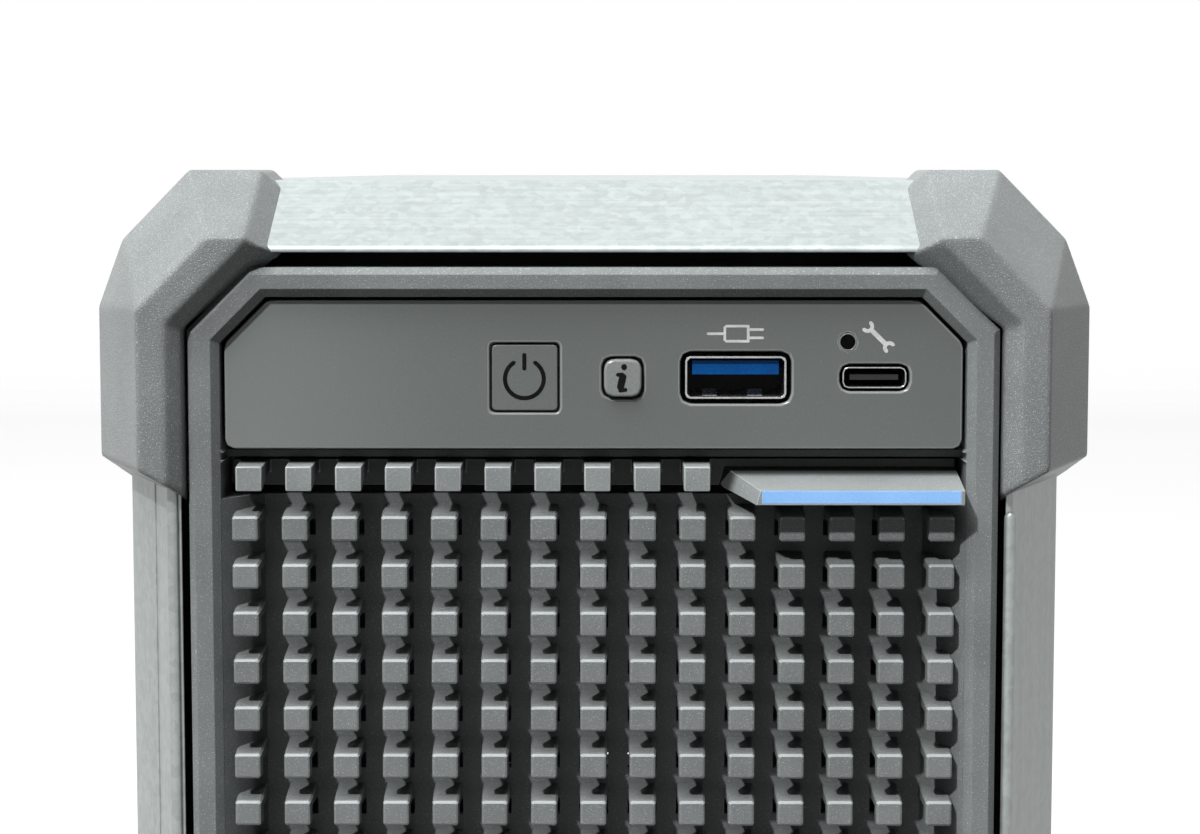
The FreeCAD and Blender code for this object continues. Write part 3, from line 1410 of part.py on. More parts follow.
def drive_cage():
    x = cage_x()
    half = cage_half()
    top = BOTTOM_IN + 2 * SHEET + 2 * DECK
    outer = box(x - half - SHEET, x + half + SHEET, CAGE_Y0, CAGE_Y1, BOTTOM_IN, top)
    hollow = box(x - half, x + half, CAGE_Y0, CAGE_Y1, BOTTOM_IN + SHEET, top - SHEET)
    shelf_z = BOTTOM_IN + SHEET + DECK
    width = CAGE_SIDE_PLAY + TRAY
    ledges = []
    for x0 in (x - half, x + half - width):
        ledges.append(box(x0, x0 + width, CAGE_Y0, CAGE_Y1, shelf_z - SHEET, shelf_z))
    return outer.cut(hollow).multiFuse(ledges).removeSplitter()


def drive_levels():
    return [BOTTOM_IN + SHEET, BOTTOM_IN + SHEET + DECK]


def drive_trays():
    x0 = cage_x() - DRIVE_W / 2
    x1 = x0 + DRIVE_W
    solids = []
    for z in drive_levels():
        tray = box(x0 - TRAY, x1 + TRAY, CAGE_Y0, CAGE_Y1, z, z + DRIVE_H * 0.8)
        room = box(x0, x1, CAGE_Y0 + TRAY, CAGE_Y1, z + TRAY, z + DRIVE_H)
        solids.append(tray.cut(room))
    return group(solids)


def hard_drive(z):
    x0 = cage_x() - DRIVE_W / 2
    x1 = x0 + DRIVE_W
    base = z + TRAY
    top = base + DRIVE_H
    y0 = CAGE_Y0 + TRAY
    case = box(x0, x1, y0, CAGE_Y1, base, top)
    return case.cut(box(x0, x1, y0, y0 + DRIVE_LIP, top - DRIVE_LIP, top))


# Rear
def io_rect():
    x1 = BOARD_FACE + PCB
    z1 = BOARD_TOP - IO_DOWN
    return x1 - IO_HEIGHT, x1, z1 - IO_LENGTH, z1


def retainer_levels():
    levels = expansion_levels()
    return levels[0] - BRACKET_W / 2, levels[-1] + BRACKET_W / 2


def retainer_axis():
    x = BOARD_FACE - STANDOFF / 2 - BRACKET_LENGTH - RETAINER_R
    return x, REAR_IN_Y - BRACKET_TAB - 2 * RETAINER_R


def rear_panel():
    panel = box(-INNER_HALF + 2 * COVER_GAP, INNER_HALF, REAR_IN_Y, REAR_FACE_Y, BOTTOM_IN, TOP_IN)
    panel = panel.common(steel_inside(REAR_IN_Y, REAR_FACE_Y))
    x0, x1, z0, z1 = io_rect()
    cuts = [box(x0, x1, REAR_IN_Y, REAR_FACE_Y, z0, z1)]
    slot_x1 = BOARD_FACE - STANDOFF
    slot_x0 = slot_x1 - BRACKET_LENGTH + 2 * STANDOFF
    for z in expansion_levels():
        cuts.append(box(
            slot_x0, slot_x1, REAR_IN_Y, REAR_FACE_Y, z - SLOT_OPENING / 2, z + SLOT_OPENING / 2))
    cuts.append(box(
        PSU_X0 + REAR_EDGE, PSU_X1 - REAR_EDGE, REAR_IN_Y, REAR_FACE_Y,
        BOTTOM_IN + REAR_EDGE, PSU_TOP - REAR_EDGE))
    for x, z in thumbscrew_places():
        cuts.append(rod_y(SCREW_SHANK + COVER_GAP, REAR_IN_Y, REAR_FACE_Y, x, z))
    vent_x0 = -INNER_HALF + COVER_FLANGE + REAR_EDGE
    vent_z = z0
    while vent_z < z1 - REAR_VENT:
        cuts.append(box(vent_x0, x0 - REAR_EDGE, REAR_IN_Y, REAR_FACE_Y, vent_z, vent_z + REAR_VENT))
        vent_z += 2 * REAR_VENT
    lugs = []
    low, high = retainer_levels()
    axis_x, axis_y = retainer_axis()
    for z in (low - SHEET - COVER_GAP, high + COVER_GAP):
        lug = box(axis_x - RETAINER_R, axis_x + RETAINER_R, axis_y - RETAINER_R, REAR_IN_Y, z, z + SHEET)
        lugs.append(lug.cut(rod_z(hole(RETAINER_R / 2 + HINGE_PLAY), z, z + SHEET, axis_x, axis_y)))
    return panel.cut(cuts).multiFuse(lugs).removeSplitter()


def slot_covers():
    solids = []
    right = BOARD_FACE - STANDOFF / 2
    for z in expansion_levels():
        half = BRACKET_W / 2
        plate = box(right - BRACKET_LENGTH, right, REAR_IN_Y - SHEET, REAR_IN_Y, z - half, z + half)
        tab = box(right - BRACKET_LENGTH, right - BRACKET_LENGTH + SHEET,
                  REAR_IN_Y - BRACKET_TAB, REAR_IN_Y - SHEET, z - half, z + half)
        solids.append(plate.fuse(tab).removeSplitter())
    return group(solids)


def card_retainer():
    low, high = retainer_levels()
    x, y = retainer_axis()
    flap_x = BOARD_FACE - STANDOFF / 2 - BRACKET_LENGTH - COVER_GAP
    barrel = rod_z(RETAINER_R, low, high, x, y)
    flap = box(flap_x - 2 * SHEET, flap_x, y, REAR_IN_Y - SHEET, low, high)
    past = SHEET + COVER_GAP
    pin = pivot(RETAINER_R / 2, Vector(x, y, low - past), Vector(x, y, high + past))
    return barrel.multiFuse([flap, pin]).removeSplitter()


def port_box(z, height, rise):
    y1 = REAR_FACE_Y + PORT_PROUD
    return box(BOARD_FACE - rise, BOARD_FACE, y1 - PORT_DEPTH, y1, z - height / 2, z + height / 2)


def port_cavity(x, z, width, height):
    y1 = REAR_FACE_Y + PORT_PROUD
    return block(x, y1 - PORT_DEPTH + PORT_TAIL, y1, z, width, height)


def rear_port_levels():
    top = io_rect()[3]
    return {
        "serial": [top - SERIAL_DOWN],
        "video": [top - VIDEO_DOWN],
        "usb": [top - USB_DOWN, top - USB_DOWN - USB_STEP],
        "network": [top - NETWORK_DOWN, top - NETWORK_DOWN - NETWORK_STEP],
    }


def network_jacks():
    solids = []
    for z in rear_port_levels()["network"]:
        jack = port_box(z, JACK_W, JACK_RISE)
        mouth = port_cavity(BOARD_FACE - JACK_RISE / 2, z, JACK_MOUTH_H, JACK_MOUTH_W)
        solids.append(jack.cut(mouth))
    return group(solids)


def stack_height():
    return USB_A_W + 2 * USB_A_WALL + STACK_MARGIN


def rear_usb_ports():
    solids = []
    for z in rear_port_levels()["usb"]:
        stack = port_box(z, stack_height(), STACK_RISE)
        cuts = []
        tongues = []
        for x in (BOARD_FACE - STACK_RISE / 4, BOARD_FACE - STACK_RISE * 3 / 4):
            cuts.append(port_cavity(x, z, USB_A_H, USB_A_W))
            tongue = port_cavity(x + USB_A_H / 4, z, USB_A_H * TONGUE_SHARE, USB_A_W - USB_A_SIDE)
            tongues.append(tongue.translated(Vector(0, -TONGUE_SHY, 0)))
        solids.append(stack.cut(cuts).multiFuse(tongues).removeSplitter())
    return solids


def d_port(z):
    # D-shaped shell on a flange plate, as on nine and fifteen pin sockets
    x = BOARD_FACE - D_RISE / 2
    y1 = REAR_FACE_Y + PORT_PROUD
    outline = [
        (x - D_SHELL_W / 2, z - D_SHELL_LONG / 2), (x + D_SHELL_W / 2, z - D_SHELL_SHORT / 2),
        (x + D_SHELL_W / 2, z + D_SHELL_SHORT / 2), (x - D_SHELL_W / 2, z + D_SHELL_LONG / 2),
    ]
    pieces = [prism_y(outline, y1, y1 + D_SHELL_PROUD)]
    for nut_z in (z - D_NUT_SPREAD, z + D_NUT_SPREAD):
        pieces.append(hex_y(D_NUT, y1, y1 + D_NUT_PROUD, x, nut_z))
    return port_box(z, D_LENGTH, D_RISE).multiFuse(pieces)


def io_shield():
    x0, x1, z0, z1 = io_rect()
    plate = box(x0, x1, REAR_IN_Y, REAR_FACE_Y, z0, z1)
    sizes = {
        "serial": (D_LENGTH, D_RISE), "video": (D_LENGTH, D_RISE),
        "usb": (stack_height(), STACK_RISE), "network": (JACK_W, JACK_RISE),
    }
    cuts = [box(BOARD_FACE, x1, REAR_IN_Y, REAR_FACE_Y, z0, z1)]
    for kind, levels in rear_port_levels().items():
        for z in levels:
            cuts.append(port_box(z, *sizes[kind]))
    return plate.cut(cuts)


def rear_screws():
    places = [
        (PSU_X0 + REAR_SCREW_INSET, PSU_TOP), (PSU_X1 - REAR_SCREW_INSET, PSU_TOP),
        (PSU_X0 - REAR_SCREW_INSET, BOTTOM_IN + REAR_SCREW_INSET),
    ]
    y1 = REAR_FACE_Y + REAR_SCREW_HEAD
    return [hex_y(REAR_SCREW, REAR_FACE_Y, y1, x, z) for x, z in places]


def rear_ports():
    levels = rear_port_levels()
    return group([d_port(z) for z in levels["serial"] + levels["video"]] + rear_usb_ports())


NODES = {
    "top_panel": top_panel(),
    "bottom_panel": drop(top_panel()),
    "right_panel": side_panel(REAR_FACE_Y),
    "left_post": flip(side_panel(COVER_Y0 - COVER_GAP)),
    "front_wall": front_wall(),
    "rear_panel": rear_panel(),
    "side_cover": cover(),
    "cover_thumbscrews": cover_thumbscrews(),
    "upper_right_bumper": bumper(BUMPER_GAP),
    "upper_left_bumper": flip(bumper(BUMPER_GAP)),
    "lower_right_bumper": drop(bumper(SWING_GAP)),
    "lower_left_bumper": drop(flip(bumper(SWING_GAP))),
    "rubber_feet": rubber_feet(),
    "bezel_frame": bezel_frame(),
    "bezel_grille": bezel_grille(),
    "bezel_hinge_arms": hinge_arms(),
    "bezel_hinge_pins": hinge_pins(),
    "bezel_latch": bezel_latch(),
    "latch_touch_strip": latch_touch_strip(),
    "control_panel": control_panel(),
    "control_board": control_board(),
    "power_button": button(POWER_FROM_RIGHT, POWER_SIZE, 0.0, POWER_ROUND),
    "info_button": button(INFO_FROM_RIGHT, INFO_SIZE, INFO_PROUD, INFO_ROUND),
    "status_light_pipe": light_pipe(),
    "usb_a_shell": usb_a_shell(),
    "usb_a_tongue": usb_a_tongue(),
    "usb_c_shell": usb_c_shell(),
    "usb_c_tongue": usb_c_tongue(),
    "panel_cable": panel_cable(),
    "motherboard": motherboard(),
    "board_standoffs": standoffs(),
    "hex_screws": group(board_screws() + rear_screws()),
    "processor_socket": cpu_socket(),
    "processor": processor(),
    "heat_sink": heat_sink(),
    "heat_sink_screws": heat_sink_screws(),
    "memory_slots": memory_slots(),
    "memory_latch_1": memory_latch(dimm_rows()[0]),
    "memory_latch_2": memory_latch(dimm_rows()[1]),
    "memory_modules": memory_modules(),
    "coin_cell": coin_cell(),
    "chipset_heat_sink": chipset_heat_sink(),
    "expansion_slots": expansion_slots(),
    "board_power_cable": board_power_cable(),
    "drive_cables": drive_cables(),
    "fan_frame": fan_frame(),
    "fan_rotor": fan_rotor(),
    "psu_case": psu_case(),
    "psu_board": psu_board(),
    "psu_fan_rotor": psu_rotor(),
    "ac_inlet": ac_inlet(),
    "ac_pins": ac_pins(),
    "drive_cage": drive_cage(),
    "drive_trays": drive_trays(),
    "hard_drives": group([hard_drive(z) for z in drive_levels()]),
    "slot_covers": slot_covers(),
    "card_retainer": card_retainer(),
    "io_shield": io_shield(),
    "rear_ports": rear_ports(),
    "network_jacks": network_jacks(),
}

os.makedirs("parts", exist_ok=True)
for name, shape in NODES.items():
    shape.exportStep("parts/" + name + ".step")
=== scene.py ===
import json
import math

import bmesh
import bpy
import numpy as np
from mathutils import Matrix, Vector


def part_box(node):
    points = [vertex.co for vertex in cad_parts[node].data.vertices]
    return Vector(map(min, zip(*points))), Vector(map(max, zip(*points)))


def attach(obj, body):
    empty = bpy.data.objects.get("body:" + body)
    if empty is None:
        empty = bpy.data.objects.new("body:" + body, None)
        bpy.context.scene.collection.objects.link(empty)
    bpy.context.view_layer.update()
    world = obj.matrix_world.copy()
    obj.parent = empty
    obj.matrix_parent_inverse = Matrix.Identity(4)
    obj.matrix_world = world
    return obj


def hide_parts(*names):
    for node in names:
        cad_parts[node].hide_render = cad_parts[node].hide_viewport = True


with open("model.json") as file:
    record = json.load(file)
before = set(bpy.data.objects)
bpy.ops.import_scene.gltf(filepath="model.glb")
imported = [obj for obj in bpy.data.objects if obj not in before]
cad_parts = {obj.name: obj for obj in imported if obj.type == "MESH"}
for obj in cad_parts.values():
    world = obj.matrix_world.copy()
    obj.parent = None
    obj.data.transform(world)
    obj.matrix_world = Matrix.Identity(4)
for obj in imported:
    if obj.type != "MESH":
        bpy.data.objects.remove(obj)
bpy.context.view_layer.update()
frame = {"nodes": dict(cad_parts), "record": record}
nodes = frame["nodes"]
bodies = frame["record"]["behaviour"]["bodies"]
bodyOf = {node: body for body, members in bodies.items() for node in members}
mm = 0.001
print("frame loaded:", len(nodes), "nodes")


# a socket that takes part in sums: each operator adds one Math node and hands back its result
class Wire:
    def __init__(self, tree, socket=None):
        self.tree = tree
        self.socket = socket

    # any node: its type, the settings made first, then a value or a link for each socket
    def node(self, kind, settings, sockets, out=0):
        made = self.tree.nodes.new(kind)
        for key, value in settings.items():
            setattr(made, key, value)
        for key, value in sockets.items():
            if isinstance(value, Wire):
                self.tree.links.new(value.socket, made.inputs[key])
            else:
                made.inputs[key].default_value = value
        return Wire(self.tree, made.outputs[out] if made.outputs else None)

    def math(self, operation, *values):
        return self.node("ShaderNodeMath", {"operation": operation}, dict(enumerate(values)))

    def __add__(self, other):
        return self.math("ADD", self, other)

    __radd__ = __add__

    def __mul__(self, other):
        return self.math("MULTIPLY", self, other)

    __rmul__ = __mul__

    def __sub__(self, other):
        return self.math("SUBTRACT", self, other)

    def __rsub__(self, other):
        return self.math("SUBTRACT", other, self)


def grey(value):
    return (value, value, value, 1.0)


def noise(wire, coords, scale, detail=2.0, out=0):
    return wire.node("ShaderNodeTexNoise", {}, {"Vector": coords, "Scale": scale, "Detail": detail}, out)


def between(wire, value, low, high):
    return wire.node("ShaderNodeMapRange", {"interpolation_type": "SMOOTHSTEP"},
                     {"Value": value, "From Min": low, "From Max": high})


def mixed(wire, share, first, second):
    return wire.node("ShaderNodeMix", {"data_type": "RGBA"}, {0: share, 6: first, 7: second}, 2)


def newFinish(name):
    made = bpy.data.materials.new(name)
    made.use_nodes = True
    made.node_tree.nodes.clear()
    wire = Wire(made.node_tree)
    return made, wire, wire.node("ShaderNodeTexCoord", {}, {}, "Object")


def closeFinish(wire, sockets):
    shader = wire.node("ShaderNodeBsdfPrincipled", {}, sockets)
    wire.node("ShaderNodeOutputMaterial", {}, {"Surface": shader})


bumpDepth = 0.0001


def bumped(wire, strength, height):
    return wire.node("ShaderNodeBump", {}, {"Strength": strength, "Distance": bumpDepth, "Height": height})


grainMix = dict(grain=0.5, cloud=0.5, low=0.3, high=0.7, flakeFade=0.06)


# moulded, cast or painted skin: fine grain over broad clouds, sparse flakes painted pale as their glints,
# grain in gloss and bump;
# painted light and shade: a fade turns the tint towards another colour along one axis, from and to a place
# in millimetres
def grainFinish(name, look):
    made, wire, coords = newFinish(name)
    grain = noise(wire, coords, look["grain"])
    cloud = noise(wire, coords, look["cloud"])
    shade = grain * grainMix["grain"] + cloud * grainMix["cloud"]
    tint = mixed(wire, between(wire, shade, grainMix["low"], grainMix["high"]), look["dark"], look["light"])
    # real flakes in the skin, painted pale as their glints: a painted highlight
    if "flake" in look:
        start = look["flakeFrom"]
        specks = noise(wire, coords, look["flakeScale"], detail=0.0)
        dots = between(wire, specks, start, start + grainMix["flakeFade"])
        tint = mixed(wire, dots * look["flake"], tint, look["flakeGlintColour"])
    # painted light and shade laid over the tint, one fade for each axis
    for side, (start, end, share, colour) in look.get("paintedShading", {}).items():
        spot = wire.node("ShaderNodeSeparateXYZ", {}, {0: coords}, side)
        tint = mixed(wire, between(wire, spot, start * mm, end * mm) * share, tint, colour)
    smooth, rough = look["gloss"]
    closeFinish(wire, {"Base Color": tint, "Roughness": smooth + grain * (rough - smooth),
                       "Metallic": look.get("metal", 0.0), "Specular IOR Level": look.get("shine", 0.5),
                       "Normal": bumped(wire, look["bump"], grain)})
    return made


# zinc-coated sheet: crystals of differing tone, soft clouds, rolling streaks along one axis and fine grain
def zincFinish(name, look):
    made, wire, coords = newFinish(name)
    drift = noise(wire, coords, look["drift"], out=1)
    wander = wire.node("ShaderNodeVectorMath", {"operation": "SCALE"}, {0: drift, "Scale": look["wander"]})
    bent = wire.node("ShaderNodeVectorMath", {"operation": "ADD"}, {0: coords, 1: wander})
    crystal = wire.node("ShaderNodeTexVoronoi", {}, {"Vector": bent, "Scale": look["crystal"]}, 1)
    tone = wire.node("ShaderNodeSeparateColor", {}, {0: crystal})
    cloud = noise(wire, coords, look["cloud"], detail=4.0)
    stretched = wire.node("ShaderNodeMapping", {}, {"Vector": coords, "Scale": look["streak"]})
    streak = noise(wire, stretched, 1.0)
    grain = noise(wire, coords, look["grain"], detail=1.0)
    part = look["shares"]
    shade = tone * part["tone"] + cloud * part["cloud"] + streak * part["streak"] + grain * part["grain"]
    tint = mixed(wire, between(wire, shade, *look["spread"]), look["dark"], look["light"])
    closeFinish(wire, {"Base Color": tint, "Roughness": look["gloss"][0] + shade * look["gloss"][1],
                       "Metallic": look["metal"], "Normal": bumped(wire, look["bump"], shade)})
    return made


# laminate under lacquer: copper runs in a paler tone over the green, along the edges of square cells
def boardFinish(name, look):
    made, wire, coords = newFinish(name)
    cells = wire.node("ShaderNodeTexVoronoi", {"distance": "MANHATTAN", "feature": "DISTANCE_TO_EDGE"},
                      {"Vector": coords, "Scale": look["run"]})
    runs = 1.0 - between(wire, cells, *look["edge"])
    grain = noise(wire, coords, look["grain"])
    tint = mixed(wire, runs * look["pale"], look["dark"], look["light"])
    closeFinish(wire, {"Base Color": tint, "Roughness": look["gloss"][0] + grain * look["gloss"][1],
                       "Normal": bumped(wire, look["bump"], runs + grain * look["grainBump"])})
    return made


finishLooks = {
    "bumperSkin": dict(dark=(0.134, 0.147, 0.146, 1), light=(0.182, 0.197, 0.196, 1), grain=5600.0,
                       cloud=70.0, gloss=(0.30, 0.46), bump=0.8, shine=0.25, flake=0.34,
                       flakeScale=7200.0, flakeFrom=0.66, flakeGlintColour=grey(0.72)),
    "bezelSkin": dict(dark=(0.134, 0.146, 0.145, 1), light=(0.178, 0.192, 0.191, 1), grain=5600.0,
                      cloud=110.0, gloss=(0.30, 0.44), bump=0.5, shine=0.14, flake=0.3, flakeScale=6200.0,
                      flakeFrom=0.70, flakeGlintColour=grey(0.7),
                      # painted shade: darker towards the back of the grille's recess, on its floor, flanks
                      # and the blocks' roofs
                      paintedShading={"Y": (-184.6, -178.8, 0.45, grey(0.03))}),
    "latchSkin": dict(dark=(0.172, 0.187, 0.186, 1), light=(0.226, 0.243, 0.242, 1), grain=5600.0,
                      cloud=110.0, gloss=(0.30, 0.44), bump=0.5, shine=0.2, flake=0.3, flakeScale=6200.0,
                      flakeFrom=0.70, flakeGlintColour=grey(0.7),
                      # painted shade: the latch bar darkens towards its back, where the panel's overhang
                      # shades it
                      paintedShading={"Y": (-183.6, -181.0, 0.85, grey(0.012))}),
    "panelSkin": dict(dark=(0.100, 0.109, 0.107, 1), light=(0.116, 0.126, 0.124, 1), grain=5200.0,
                      cloud=24.0, gloss=(0.22, 0.30), bump=0.05, shine=0.35,
                      # painted light: the panel turns lighter towards its left end
                      paintedShading={"X": (-16.0, -52.0, 0.5, (0.20, 0.215, 0.212, 1))}),
    "infoSkin": dict(dark=(0.160, 0.172, 0.170, 1), light=(0.190, 0.204, 0.201, 1), grain=5200.0,
                     cloud=60.0, gloss=(0.24, 0.32), bump=0.05, shine=0.4),
    # painted highlights: paler, glossier copies of the skins for eased edges where light catches them; the
    # bezel's copy also has painted shade towards the back of the recess
    "bezelPaintedHighlight": dict(dark=(0.27, 0.288, 0.287, 1), light=(0.34, 0.36, 0.358, 1), grain=5600.0,
                      cloud=110.0, gloss=(0.24, 0.36), bump=0.2, shine=0.4,
                      paintedShading={"Y": (-184.6, -178.8, 0.7, grey(0.03))}),
    "panelPaintedHighlight": dict(dark=(0.165, 0.178, 0.175, 1), light=(0.20, 0.214, 0.211, 1), grain=5200.0,
                      cloud=60.0, gloss=(0.16, 0.24), bump=0.05, shine=0.6),
    # painted shade: near-black steel for the front wall behind the grille, so that its holes read as dark
    "paintedShadeSteel": dict(dark=grey(0.020), light=grey(0.036), grain=2600.0, cloud=90.0, gloss=(0.5, 0.7),
                       bump=0.2, metal=0.3, shine=0.2),
    "touchBlue": dict(dark=(0.185, 0.385, 0.72, 1), light=(0.25, 0.465, 0.80, 1), grain=4200.0,
                      cloud=120.0, gloss=(0.40, 0.60), bump=0.4),
    "portBlue": dict(dark=(0.0, 0.045, 0.18, 1), light=(0.0, 0.072, 0.26, 1), grain=3000.0, cloud=200.0,
                     gloss=(0.35, 0.5), bump=0.15, shine=0.15,
                     # painted shade: the blue turns near-black below a height, for the dark hollow of the
                     # port
                     paintedShading={"Z": (298.95, 298.85, 1.0, grey(0.002))}),
    "portSteel": dict(dark=grey(0.36), light=grey(0.50), grain=2600.0, cloud=240.0, gloss=(0.2, 0.36),
                      bump=0.08, metal=1.0),
    "blackPlastic": dict(dark=grey(0.008), light=grey(0.018), grain=2600.0, cloud=80.0,
                         gloss=(0.46, 0.66), bump=0.25, shine=0.3),
    "milledAluminium": dict(dark=grey(0.56), light=grey(0.70), grain=2200.0, cloud=60.0,
                            gloss=(0.28, 0.46), bump=0.15, metal=1.0),
    "brass": dict(dark=(0.46, 0.31, 0.09, 1), light=(0.62, 0.44, 0.15, 1), grain=1800.0, cloud=120.0,
                  gloss=(0.22, 0.36), bump=0.08, metal=1.0),
    "rubber": dict(dark=grey(0.012), light=grey(0.028), grain=1800.0, cloud=60.0, gloss=(0.7, 0.9),
                   bump=0.3),
    "cableSheath": dict(dark=grey(0.014), light=grey(0.030), grain=1400.0, cloud=70.0, gloss=(0.45, 0.65),
                        bump=0.25),
    "castCase": dict(dark=grey(0.30), light=grey(0.42), grain=1500.0, cloud=50.0, gloss=(0.38, 0.58),
                     bump=0.3, metal=0.9),
    "nickel": dict(dark=grey(0.55), light=grey(0.68), grain=2400.0, cloud=150.0, gloss=(0.16, 0.32),
                   bump=0.06, metal=1.0),
    "lightPipe": dict(dark=grey(0.001), light=grey(0.003), grain=1400.0, cloud=200.0, gloss=(0.5, 0.6),
                      bump=0.03, shine=0.02),
    "darkMark": dict(dark=grey(0.003), light=grey(0.008), grain=2600.0, cloud=200.0, gloss=(0.5, 0.7),
                     bump=0.2, shine=0.05),
    "paleMark": dict(dark=grey(0.42), light=grey(0.58), grain=3200.0, cloud=500.0, gloss=(0.45, 0.6),
                     bump=0.2),
}
finishes = {name: grainFinish(name, look) for name, look in finishLooks.items()}
zincLook = dict(dark=(0.31, 0.342, 0.335, 1), light=(0.43, 0.468, 0.458, 1), crystal=900.0, drift=260.0,
                wander=0.0014, cloud=420.0, grain=5200.0, gloss=(0.34, 0.2), metal=0.6, bump=0.10,
                shares=dict(tone=0.18, cloud=0.26, streak=0.34, grain=0.22), spread=(0.26, 0.74))
zincKinds = {
    "zincSheet": dict(streak=(900.0, 14.0, 900.0)),
    # painted light and shade: the flat sheets' copy is paler and the upright sheets' copy darker, for how
    # the light falls on them
    "zincAcrossLit": dict(streak=(26.0, 1500.0, 1500.0), dark=(0.345, 0.385, 0.38, 1),
                       light=(0.475, 0.525, 0.518, 1)),
    "zincUprightShaded": dict(streak=(900.0, 900.0, 14.0), dark=(0.25, 0.272, 0.262, 1),
                        light=(0.355, 0.382, 0.37, 1)),
}
for name, kind in zincKinds.items():
    finishes[name] = zincFinish(name, dict(zincLook, **kind))
boardLook = dict(dark=(0.006, 0.050, 0.024, 1), light=(0.03, 0.12, 0.06, 1), run=190.0, edge=(0.02, 0.06),
                 grain=2400.0, pale=0.7, gloss=(0.34, 0.2), bump=0.25, grainBump=0.3)
finishes["circuitBoard"] = boardFinish("circuitBoard", boardLook)
slotFinish = {
    "galvanised_steel": "zincSheet", "bumper_plastic": "bumperSkin", "bezel_plastic": "bezelSkin",
    "panel_plastic": "panelSkin", "touch_blue": "touchBlue", "port_steel": "portSteel",
    "port_blue": "portBlue", "black_plastic": "blackPlastic", "circuit_board": "circuitBoard",
    "aluminium": "milledAluminium", "brass": "brass", "rubber": "rubber", "light_pipe": "lightPipe",
    "cable": "cableSheath", "drive_case": "castCase", "nickel": "nickel"}
ownFinish = {"front_wall": "paintedShadeSteel", "top_panel": "zincAcrossLit", "bottom_panel": "zincAcrossLit",
             "right_panel": "zincUprightShaded", "left_post": "zincUprightShaded", "rear_panel": "zincUprightShaded",
             "side_cover": "zincUprightShaded", "bezel_latch": "latchSkin", "info_button": "infoSkin"}
slotOf = {row["node"]: row["material_slot"] for row in frame["record"]["subparts"]}
finishOf = {node: ownFinish.get(node, slotFinish[slotOf[node]]) for node in nodes}
print("finishes made:", len(finishes))

for name, node in nodes.items():
    node.data.materials.clear()
    node.data.materials.append(finishes[finishOf[name]])
print("finishes laid on", len(nodes), "nodes")


def place(name, mesh, body, finish):
    piece = bpy.data.objects.new(name, mesh)
    bpy.context.scene.collection.objects.link(piece)
    mesh.materials.clear()
    mesh.materials.append(finishes[finish])
    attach(piece, body)
    return piece


flatten = dict(merge=0.002, angle=0.5)


# a copy of a node's shape with its triangles merged to flats
def flatForm(node):
    form = bmesh.new()
    form.from_mesh(nodes[node].data)
    bmesh.ops.remove_doubles(form, verts=form.verts, dist=flatten["merge"] * mm)
    angle = math.radians(flatten["angle"])
    bmesh.ops.dissolve_limit(form, angle_limit=angle, verts=form.verts, edges=form.edges)
    return form


def smoothed(mesh):
    mesh.polygons.foreach_set("use_smooth", np.ones(len(mesh.polygons), bool))
    return mesh


def meshFrom(form, name):
    mesh = bpy.data.meshes.new(name)
    form.to_mesh(mesh)
    form.free()
    return smoothed(mesh)


def thickened(piece, name, thick, offset):
    wall = piece.modifiers.new(name, "SOLIDIFY")
    wall.thickness = thick * mm
    wall.offset = offset


highlightFinish = {"bezel_latch": "bezelPaintedHighlight", "control_panel": "panelPaintedHighlight", "info_button": "panelPaintedHighlight"}
tabFront = dict(depth=-188.9, drop=0.28)   # the tab's front edge, and the strip on it, a little lower
easing = dict(sharp=16.0, thinShare=0.25, flatWeight=80)


# sharp edges eased by a narrow bevel, narrower still past the place where thin lips start;
# flats keep their normals
def eased(node, width, steps, thinFrom=None):
    name = node + "_eased"
    form = flatForm(node)
    if bodyOf[node] == "bezel_latch":
        ahead = [spot for spot in form.verts if spot.co.y < tabFront["depth"] * mm]
        bmesh.ops.translate(form, verts=ahead, vec=(0.0, 0.0, -tabFront["drop"] * mm))
    weight = form.edges.layers.float.new("bevel_weight_edge")
    for edge in form.edges:
        if edge.is_manifold and edge.calc_face_angle() > math.radians(easing["sharp"]):
            thin = thinFrom is not None and max(end.co.x for end in edge.verts) > thinFrom * mm
            edge[weight] = easing["thinShare"] if thin else 1.0
    piece = place(name, meshFrom(form, name), bodyOf[node], finishOf[node])
    bevel = piece.modifiers.new("easedEdge", "BEVEL")
    bevel.width = width * mm
    bevel.segments = steps
    bevel.limit_method = "WEIGHT"
    bevel.use_clamp_overlap = False
    # the bevel takes the paler finish: a painted highlight along the eased edges
    if node in highlightFinish:
        piece.data.materials.append(finishes[highlightFinish[node]])
        bevel.material = 1
    flats = piece.modifiers.new("flatNormals", "WEIGHTED_NORMAL")
    flats.mode = "FACE_AREA"
    flats.weight = easing["flatWeight"]
    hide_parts(node)


# the faces that clasp the sheet steel go a little way into it, so that the seam is one clean line;
# those beside the bezel's wall stay, and so do those by its lower corners, which need room as it swings
def tucked(mesh, look):
    spots = np.empty(len(mesh.vertices) * 3, np.float32)
    mesh.vertices.foreach_get("co", spots)
    spots = spots.reshape(-1, 3) / mm
    wide = np.abs(spots[:, 0])
    up = np.where(spots[:, 2] > look["middle"], 1.0, -1.0)
    under = np.where(up > 0, spots[:, 2] < look["top"], spots[:, 2] > look["bottom"])
    clasp = under & (wide < look["half"]) & (spots[:, 1] > look["lip"])
    clasp &= np.abs(wide - look["wall"]) > look["beside"]
    clasp &= (up > 0) | (wide > look["wall"]) | (spots[:, 1] > look["swing"])
    back = np.where(spots[:, 1] < look["tail"], 1.0, 0.0)
    way = np.stack([-np.sign(spots[:, 0]), back, -up], axis=1)
    spots += way * clasp[:, None] * look["tuck"]
    mesh.vertices.foreach_set("co", (spots * mm).astype(np.float32).ravel())
    mesh.update()
    return mesh


